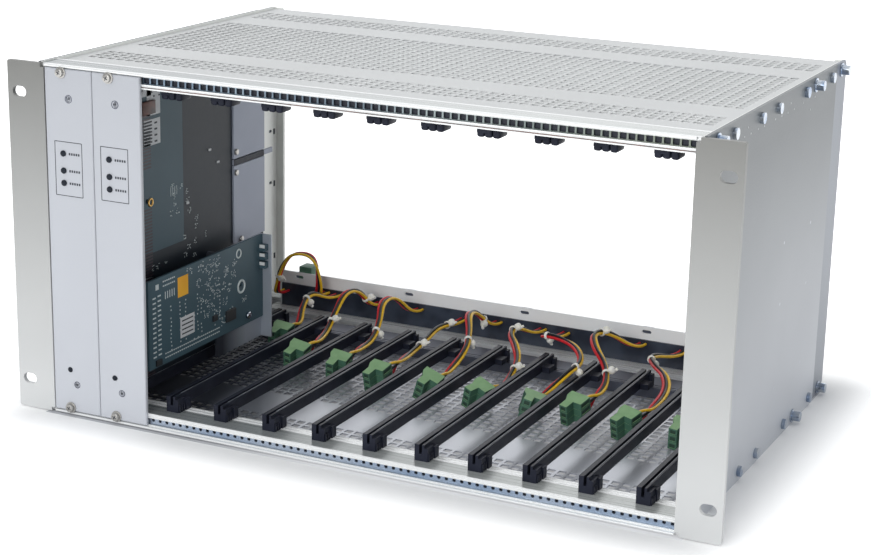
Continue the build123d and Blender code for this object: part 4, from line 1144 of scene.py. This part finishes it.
def open_cells(strip, z, wide, tall, corner, rise):
    """Each cell of the strip gets an opening with cut corners."""
    editing(strip)
    bpy.ops.mesh.inset(thickness=0.3 * MM, depth=0, use_individual=True)
    mesh = bmesh.from_edit_mesh(strip.data)
    inner = [face for face in mesh.faces if face.select]
    middles = [face.calc_center_median() for face in inner]
    for face, middle in zip(inner, middles):
        for vert in face.verts:
            vert.co.x = middle.x + math.copysign(wide / 2 * MM, vert.co.x - middle.x)
            vert.co.z = (z + rise) * MM + math.copysign(tall / 2 * MM, vert.co.z - z * MM)
    corners = [vert for face in inner for vert in face.verts]
    bmesh.ops.delete(mesh, geom=inner, context="FACES")
    bmesh.ops.bevel(
        mesh,
        geom=corners,
        offset=corner * MM,
        offset_type="OFFSET",
        segments=2,
        profile=0.5,
        affect="VERTICES",
        clamp_overlap=True,
    )
    bmesh.update_edit_mesh(strip.data)
    done()


# Carried-over solids
CAD_FINISHES = {
    "side_sheet": ("side_panel_left", "side_panel_right"),
    "ear_sheet": ("mounting_ear_left", "mounting_ear_right"),
    "rail_metal": ("front_rail_top", "front_rail_bottom", "rear_rail_top", "rear_rail_bottom"),
    "rail_inner": ("middle_rail_top", "middle_rail_bottom"),
    "white_plate": ("rear_mounting_plate",),
    "power_mask": ("power_board",),
    "guide_plastic": tuple(f"card_guide_bottom_{number:02d}" for number in range(1, 13)),
    "panel_sheet": ("module_panel_1", "module_panel_2"),
    "board_dark": ("module_board_1", "module_board_2"),
    "board_green": ("daughter_board",),
    "bracket_sheet": ("board_bracket",),
    "shield_paint": ("rear_shield_plates",),
    "zinc": ("rail_screws", "cover_screws"),
}
# Solids whose edges are rounded, by how their names start, and the width of the rounding
ROUNDED = {"card_guide_bottom": 0.35, "mounting_ear": 0.4, "module_panel": 0.3}


class CAGE_OT_solids(bpy.types.Operator):
    """Finishes of the solids that are shown as they are"""

    bl_idname = "cage.solids"
    bl_label = "Solids"

    def execute(self, context):
        for finish, names in CAD_FINISHES.items():
            for name in names:
                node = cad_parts[name]
                node.data.materials.clear()
                node.data.materials.append(finish_of(finish))
                for start, width in ROUNDED.items():
                    if name.startswith(start):
                        bevel = node.modifiers.new("bevel", "BEVEL")
                        bevel.width = width * MM
                        bevel.segments = 2
                        bevel.limit_method = "ANGLE"
        return {"FINISHED"}


# Guides
GUIDE_TOP_LOW = 98.0
GUIDE_TOP_TALL = RAIL_IN - GUIDE_TOP_LOW
GUIDE_TOP_LOBES = (-2.8, 2.1, 7.1)
TOOTH_PLACES = (10.6, 13.0, 15.4)


class CAGE_OT_guides(bpy.types.Operator):
    """Upper guides with lobed feet, and the lower guides' teeth and painted highlights along their edges
    """

    bl_idname = "cage.guides"
    bl_label = "Guides"

    def execute(self, context):
        middle = GUIDE_TOP_LOW + GUIDE_TOP_TALL / 2
        parts = [block((6.5, 202.6, 4.4), (-1.7, 110.6, 102.8), 0.3, 1)]
        for x in GUIDE_TOP_LOBES:
            parts.append(block((4.6, 12.5, GUIDE_TOP_TALL), (x, 15.6, middle), 1.5, 3))
            parts.append(block((4.6, 9.0, GUIDE_TOP_TALL), (x, 204.0, middle), 1.2, 2))
        guides = in_each_slot(joined(parts, "guide_top"), "guides_top")
        dress(guides, "guide_plastic", ["card_guides_top"])
        # Painted highlight: a thin pale strip along the top of each lower guide's right wall.
        edge = block((0.45, 190.0, 0.25), (0.25, 113.0, -94.45), 0.1, 1)
        dress(in_each_slot(edge, "guide_edge_highlights"), "guide_shine")
        tooth = block((0.9, 1.3, 5.0), (4.2, 0, -102.5), 0.25, 2)
        places = [at(x, y, 0) for x in SCREW_XS for y in TOOTH_PLACES]
        dress(repeated(tooth, places, "guide_teeth"), "guide_plastic")
        return {"FINISHED"}


# Small parts and prints of the modules
# In millimetres: the faces of the module panels, the second board and the daughter board, how thick a
# printed mark is, the heights of a front's lamps, icon, lower lamp and lower ring, the line of its
# printed frame, and the sizes of a legend's dashes
PANEL_FACE = -2.5
MAIN_FACE = -165.3
DAUGHTER_FACE = -150.2
MARK = 0.16
LAMP_ZS = (58.9, 47.9, 39.9)
ICON_Z = 93.9
LOW_LAMP_Z = -84.3
LOW_RING_Z = -94.0
FRAME_LINE = 0.45
DASHES = ((0.4, 1.1), (1.0, 0.4), (0.6, 0.6), (1.6, 0.35), (0.4, 0.4))
# Each front: its icon's X, its lamps' X, its frame's sides and its frame's ends
FRONTS = (
    (-195.4, -200.4, (-206.8, -186.4), (31.7, 66.4)),
    (-160.6, -165.8, (-172.1, -151.9), (32.3, 66.6)),
)


def on_front(x, z, wide, tall):
    return at(x, PANEL_FACE, z) @ Matrix.Diagonal((wide, MARK, tall, 1))


def on_main(y, z, long, tall, face=MAIN_FACE):
    return at(face, y, z) @ Matrix.Diagonal((MARK, long, tall, 1))


def on_daughter(y, z, long, tall):
    return on_main(y, z, long, tall, DAUGHTER_FACE)


def marks(name, finish, placings):
    """Flat marks: one small block for each placing."""
    return dress(repeated(block((1, 1, 1), (0, 0, 0)), placings, name), finish, smooth=False)


def rows_of(place, rows):
    """Marks in rows: where a row starts, back and up, its step, how many it has and their size."""
    return [
        place(y + step_y * k, z + step_z * k, long, tall)
        for y, z, step_y, step_z, count, long, tall in rows
        for k in range(count)
    ]


def scattered(place, spots, count, spread, rng):
    """Small dashes strewn round each spot, as a board's legend has."""
    placings = []
    for y, z in spots:
        for _ in range(count):
            dash = rng.choice(DASHES)
            placings.append(
                place(y + rng.uniform(-spread, spread), z + rng.uniform(-spread, spread), *dash)
            )
    return placings


class CAGE_OT_fronts(bpy.types.Operator):
    """Lamps, ports, icons, printed frames and captive screws of the module fronts"""

    bl_idname = "cage.fronts"
    bl_label = "Module fronts"

    def execute(self, context):
        ink, lamps, rings, heads, slots = [], [], [], [], []
        for index, (icon, lamp, (left, right), (low, high)) in enumerate(FRONTS):
            middle, centre = (left + right) / 2, (low + high) / 2
            ink += [
                on_front(left, centre, FRAME_LINE, high - low),
                on_front(right, centre, FRAME_LINE, high - low),
                on_front(middle, low, right - left, FRAME_LINE),
                on_front(middle, high, right - left, FRAME_LINE),
                on_front(icon, ICON_Z, 2.0, 0.5),
                on_front(icon + 0.4, ICON_Z + 0.7, 0.5, 1.6),
                on_front(icon, LOW_RING_Z, 1.3, 1.3),
            ]
            for z in LAMP_ZS:
                lamps.append(rod(4.0, 1.3, (lamp, PANEL_FACE - 0.4, z), "Y", bevel=0.5))
                ink += [on_front(lamp + 4.6 + 1.75 * k, z, 1.15, 1.5) for k in range(5)]
            lamps.append(rod(3.6, 0.5, (lamp, PANEL_FACE - 0.1, LOW_LAMP_Z), "Y", bevel=0.15))
            rings.append(ring(2.4, 0.25, (icon, PANEL_FACE, ICON_Z), "Y"))
            rings.append(ring(2.1, 0.22, (icon, PANEL_FACE, LOW_RING_Z), "Y"))
            for z in (STRIP_Z, -STRIP_Z):
                x = SCREW_XS[index]
                heads.append(rod(7.4, 0.9, (x, PANEL_FACE - 0.35, z), "Y", 32, 0.3))
                heads.append(rod(5.6, 2.6, (x, PANEL_FACE - 1.6, z), "Y", 32, 0.7))
                # Painted shade: flat black crosses on the heads stand for their slots.
                for turn in (0.5, 0.5 + math.pi / 2):
                    slots.append(block((3.0, 0.3, 0.7), (x, PANEL_FACE - 2.8, z), 0.1, 1, (0, turn, 0)))
        marks("front_prints", "print_ink", ink)
        piece(lamps, "front_lamps", "lamp_lens")
        piece(rings, "front_rings", "rail_inner")
        piece(heads, "captive_heads", "nickel", "zinc_steel", ["captive_screws"])
        piece(slots, "captive_slots", "deep_black")
        return {"FINISHED"}


# On the boards, in millimetres back and up: where the legend lies, its rows as rows_of takes them,
# labels with their sizes, and small parts
MAIN_LEGEND = (
    (66.3, 27.8), (77.6, 25.9), (68.4, 20.9), (69, 16.4), (65, 9.5), (72.6, 10), (84.4, 21),
    (84.3, 15.8), (86.4, 7.5), (94.9, 0.4), (94.8, -4.5), (80, -9.7), (93.2, -14.9), (85.3, -17),
    (81.2, -22.3), (92.2, -25.3), (106.8, -13.1), (57.5, -22.3), (47.8, -21.7), (42.5, -22.2),
)
MAIN_ROWS = ((64.5, 24.5, 2.4, 0, 4, 0.5, 6.0), (21, -26.5, 1.6, -0.12, 14, 0.9, 0.9))
MAIN_PINS = ((37.8, 79.2, 0, -2.1, 17, 9.4, 1.25), (37.8, 18, 0, -2.1, 55, 9.4, 1.25))
MAIN_LABELS = ((46.5, 87.5, 15, 17), (37, 94.6, 14, 5), (44.3, 68, 18.6, 16.9))
MAIN_LABEL_ROWS = (
    (40, 75, 0, -2.2, 7, 8.5, 1), (48.5, 73.6, 0, -4, 4, 3.2, 1.2),
    (44, 94, 6, 0, 2, 1.8, 1), (47, 91, 6, 0, 2, 1.8, 1),
)
MAIN_PARTS = ((122.4, 33.7), (112.1, 44), (84.2, 13))
SHIELD_SCREWS = ((143.9, 36.7), (143.7, 22.1), (149.6, -26.4))
DAUGHTER_LEGEND = (
    (62.4, -26.6), (76, -27), (89.8, -27.5), (97, -27.5), (81.8, -30), (96.1, -32.2), (108.2, -36),
    (118.9, -34.1), (117.2, -41.8), (107.3, -39.4), (103.9, -47.6), (106.2, -59), (83.9, -42.1),
    (95.9, -42.4), (95.7, -50.9), (83.6, -54.1), (131.1, -64.1), (96.3, -64.6), (81.9, -61.2),
    (88, -36), (90, -47), (88, -58), (74, -38), (76, -50), (112, -50), (113, -68), (104, -72),
)
DAUGHTER_ROWS = (
    (20.6, -35, 0, -3.3, 13, 3.6, 1), (26.4, -34.5, 0, -3.3, 13, 3.6, 1),
    (31.5, -26.2, 2.1, 0, 7, 1.4, 0.9), (31.5, -29.2, 2.1, 0, 7, 1.4, 0.9),
    (33.5, -36, 2.6, 0, 5, 0.8, 5), (33, -75.4, 2.4, 0, 28, 1.5, 0.8),
    (33, -78.2, 2.4, 0, 28, 1.5, 0.8), (24.2, -28.3, 0, 0, 1, 3.6, 3.6),
)
DAUGHTER_COLUMNS = (39.6, 50.4, 57.0, 67.3, 71.7, 76.0, 92.5, 99.5)
DAUGHTER_AMBER = (54.3, -34.8, 12.4, 13.6)
DAUGHTER_LABEL = (59, -63, 17, 14)
DAUGHTER_LABEL_ROWS = ((59, -58.6, 0, -3, 4, 13.5, 0.9),)
DAUGHTER_CHIPS = ((112, -70, 12, 8), (24, -79, 6, 4), (92, -67, 5, 4))
# What lifts a print off its label
ON_LABEL = at(0.06, 0, 0)


class CAGE_OT_boards(bpy.types.Operator):
    """Labels, legends, pins, rings and small parts of the boards"""

    bl_idname = "cage.boards"
    bl_label = "Boards"

    def execute(self, context):
        rng = random.Random(11)
        dress_main_board(rng)
        dress_daughter_board(rng)
        return {"FINISHED"}


def dress_main_board(rng):
    """Legend, pins, labels and small parts of the board behind the second module."""
    legend = scattered(on_main, MAIN_LEGEND, 7, 2.0, rng)
    marks("main_legend", "silk_ink", legend + rows_of(on_main, MAIN_ROWS))
    marks("main_pins", "pin_red", rows_of(on_main, MAIN_PINS))
    marks("main_labels", "label_white", [on_main(*label) for label in MAIN_LABELS])
    prints = [ON_LABEL @ bar for bar in rows_of(on_main, MAIN_LABEL_ROWS)]
    marks("main_label_prints", "print_ink", prints)
    part = block((2.4, 14.5, 8.6), (MAIN_FACE + 1.1, 38.6, 84.8), 0.4, 2)
    piece([part], "main_part", "ceramic")
    small = [block((1.0, 2.6, 1.5), (MAIN_FACE + 0.4, y, z), 0.2, 1) for y, z in MAIN_PARTS]
    piece(small, "main_small_parts", "label_white")
    piece([ring(2.3, 0.7, (MAIN_FACE + 0.1, 40.9, 22.5), "X")], "main_ring", "brass")
    screws = [rod(4.2, 1.6, (MAIN_FACE + 2.0, y, z), "X", 20, 0.5) for y, z in SHIELD_SCREWS]
    piece(screws, "shield_screws", "nickel")
    # Painted shadow: a black block in the gap beside the shield.
    gap = block((0.4, 40.0, 4.0), (MAIN_FACE + 1.35, 161.2, 29.3), 0.1, 1)
    piece([gap], "shield_gap_shadow", "deep_black")


def dress_daughter_board(rng):
    """Legend, labels, chips, rings and terminals of the small board in front of it."""
    legend = scattered(on_daughter, DAUGHTER_LEGEND, 13, 3.2, rng)
    for y in DAUGHTER_COLUMNS:
        legend += [
            on_daughter(y + rng.uniform(-0.5, 0.5), -45.0 - 2.7 * k, 0.9, 0.9)
            for k in range(12)
            if rng.random() < 0.72
        ]
    marks("daughter_legend", "silk_ink", legend + rows_of(on_daughter, DAUGHTER_ROWS))
    marks("daughter_amber", "label_amber", [on_daughter(*DAUGHTER_AMBER)])
    marks("daughter_label", "label_white", [on_daughter(*DAUGHTER_LABEL)])
    prints = [ON_LABEL @ bar for bar in rows_of(on_daughter, DAUGHTER_LABEL_ROWS)]
    marks("daughter_label_prints", "print_ink", prints)
    rings = [
        ring(2.9, 0.55, (DAUGHTER_FACE, 124.0, -29.4), "X"),
        ring(4.3, 0.75, (DAUGHTER_FACE, 127.0, -53.5), "X"),
    ]
    piece(rings, "daughter_rings", "silk_ink")
    screw = rod(5.4, 2.2, (DAUGHTER_FACE + 1.0, 135.2, -76.3), "X", 24, 0.7)
    piece([screw], "daughter_screw", "zinc")
    chips = [
        block((1.6, long, tall), (DAUGHTER_FACE + 0.7, y, z), 0.2, 1)
        for y, z, long, tall in DAUGHTER_CHIPS
    ]
    piece(chips, "daughter_chips", "chip_black")
    terminals = [
        block((4.2, 0.5, 2.4), (-147.9, 151.3, -30.4 - 6.2 * k), 0.2, 1) for k in range(3)
    ]
    piece(terminals, "daughter_terminals", "terminal_white")


# Small marks of the side panels, back and up
DIMPLES = (
    (165.3, 18.6), (224.9, 18.5), (224.2, -21.8), (165.0, -21.0), (224.0, -76.0), (164.5, -76.2),
)
DOTS = (
    (66.3, 103.2), (72.5, 107.6), (78.3, 103.0), (92.7, 103.1), (104.7, 102.7), (126.8, 103.0),
    (140.0, 102.7), (152.8, 102.5), (158.4, 107.4), (166.5, 102.4), (186.4, 103.1), (203.7, 96.0),
    (213.0, 102.5),
)
INNER_SLOTS = ((284.4, 20.4), (284.5, -20.3), (284.5, -77.8))


class CAGE_OT_details(bpy.types.Operator):
    """Rear plate's nuts, feed terminal, painted shade of the top rail's groove, and the side panels' marks
    """

    bl_idname = "cage.details"
    bl_label = "Small details"

    def execute(self, context):
        nuts = [block((9.0, 1.6, 6.0), (4.3 + 93.5 * k, 268.2, -85.6), 0.5, 2) for k in range(-2, 3)]
        piece(nuts, "slot_nuts", "rail_inner")
        feed = block((10.8, 11.6, 11.6), (-178.3, 271.5, -83.2), 0.6, 2)
        piece([feed], "feed_block", "plug_green")
        # Painted shade: a dark line stands for the groove along the top rail's front.
        groove = block((2 * 215.8, 0.3, 0.45), (0, -0.03, 106.3))
        piece([groove], "rail_groove_shade", "ceramic")
        # Painted highlight: pale discs stand for the lit dimples.
        dimples = [rod(2.0, 0.12, (SIDE_FACE, y, z), "X", 16) for y, z in DIMPLES]
        piece(dimples, "side_dimples", "dimple_shade")
        dots = [rod(1.3, 0.12, (SIDE_FACE, y, z), "X", 12) for y, z in DOTS]
        piece(dots, "side_dots", "label_white")
        slots = [block((0.3, 2.2, 4.4), (-INNER_FACE / MM + 0.6, y, z), 0.1, 1) for y, z in INNER_SLOTS]
        piece(slots, "inner_slots", "print_ink")
        return {"FINISHED"}


class CAGE_PT_panel(bpy.types.Panel):
    bl_label = "Card cage"
    bl_idname = "CAGE_PT_panel"
    bl_space_type = "VIEW_3D"
    bl_region_type = "UI"
    bl_category = "Card cage"

    def draw(self, context):
        for key in CageSettings.__annotations__:
            self.layout.prop(context.scene.cage, key)
        for operator in OPERATORS:
            self.layout.operator(operator.bl_idname)


OPERATORS = (
    CAGE_OT_stage,
    CAGE_OT_solids,
    CAGE_OT_plugs,
    CAGE_OT_harness,
    CAGE_OT_covers,
    CAGE_OT_strips,
    CAGE_OT_guides,
    CAGE_OT_fronts,
    CAGE_OT_boards,
    CAGE_OT_details,
)
CLASSES = (CageSettings, *OPERATORS, CAGE_PT_panel)


def register():
    for cls in CLASSES:
        bpy.utils.register_class(cls)
    bpy.types.Scene.cage = PointerProperty(type=CageSettings)


def unregister():
    del bpy.types.Scene.cage
    for cls in reversed(CLASSES):
        bpy.utils.unregister_class(cls)


def main():
    register()
    for operator in OPERATORS:
        group, name = operator.bl_idname.split(".")
        getattr(getattr(bpy.ops, group), name)()
    clear()


if __name__ == "__main__":
    main()
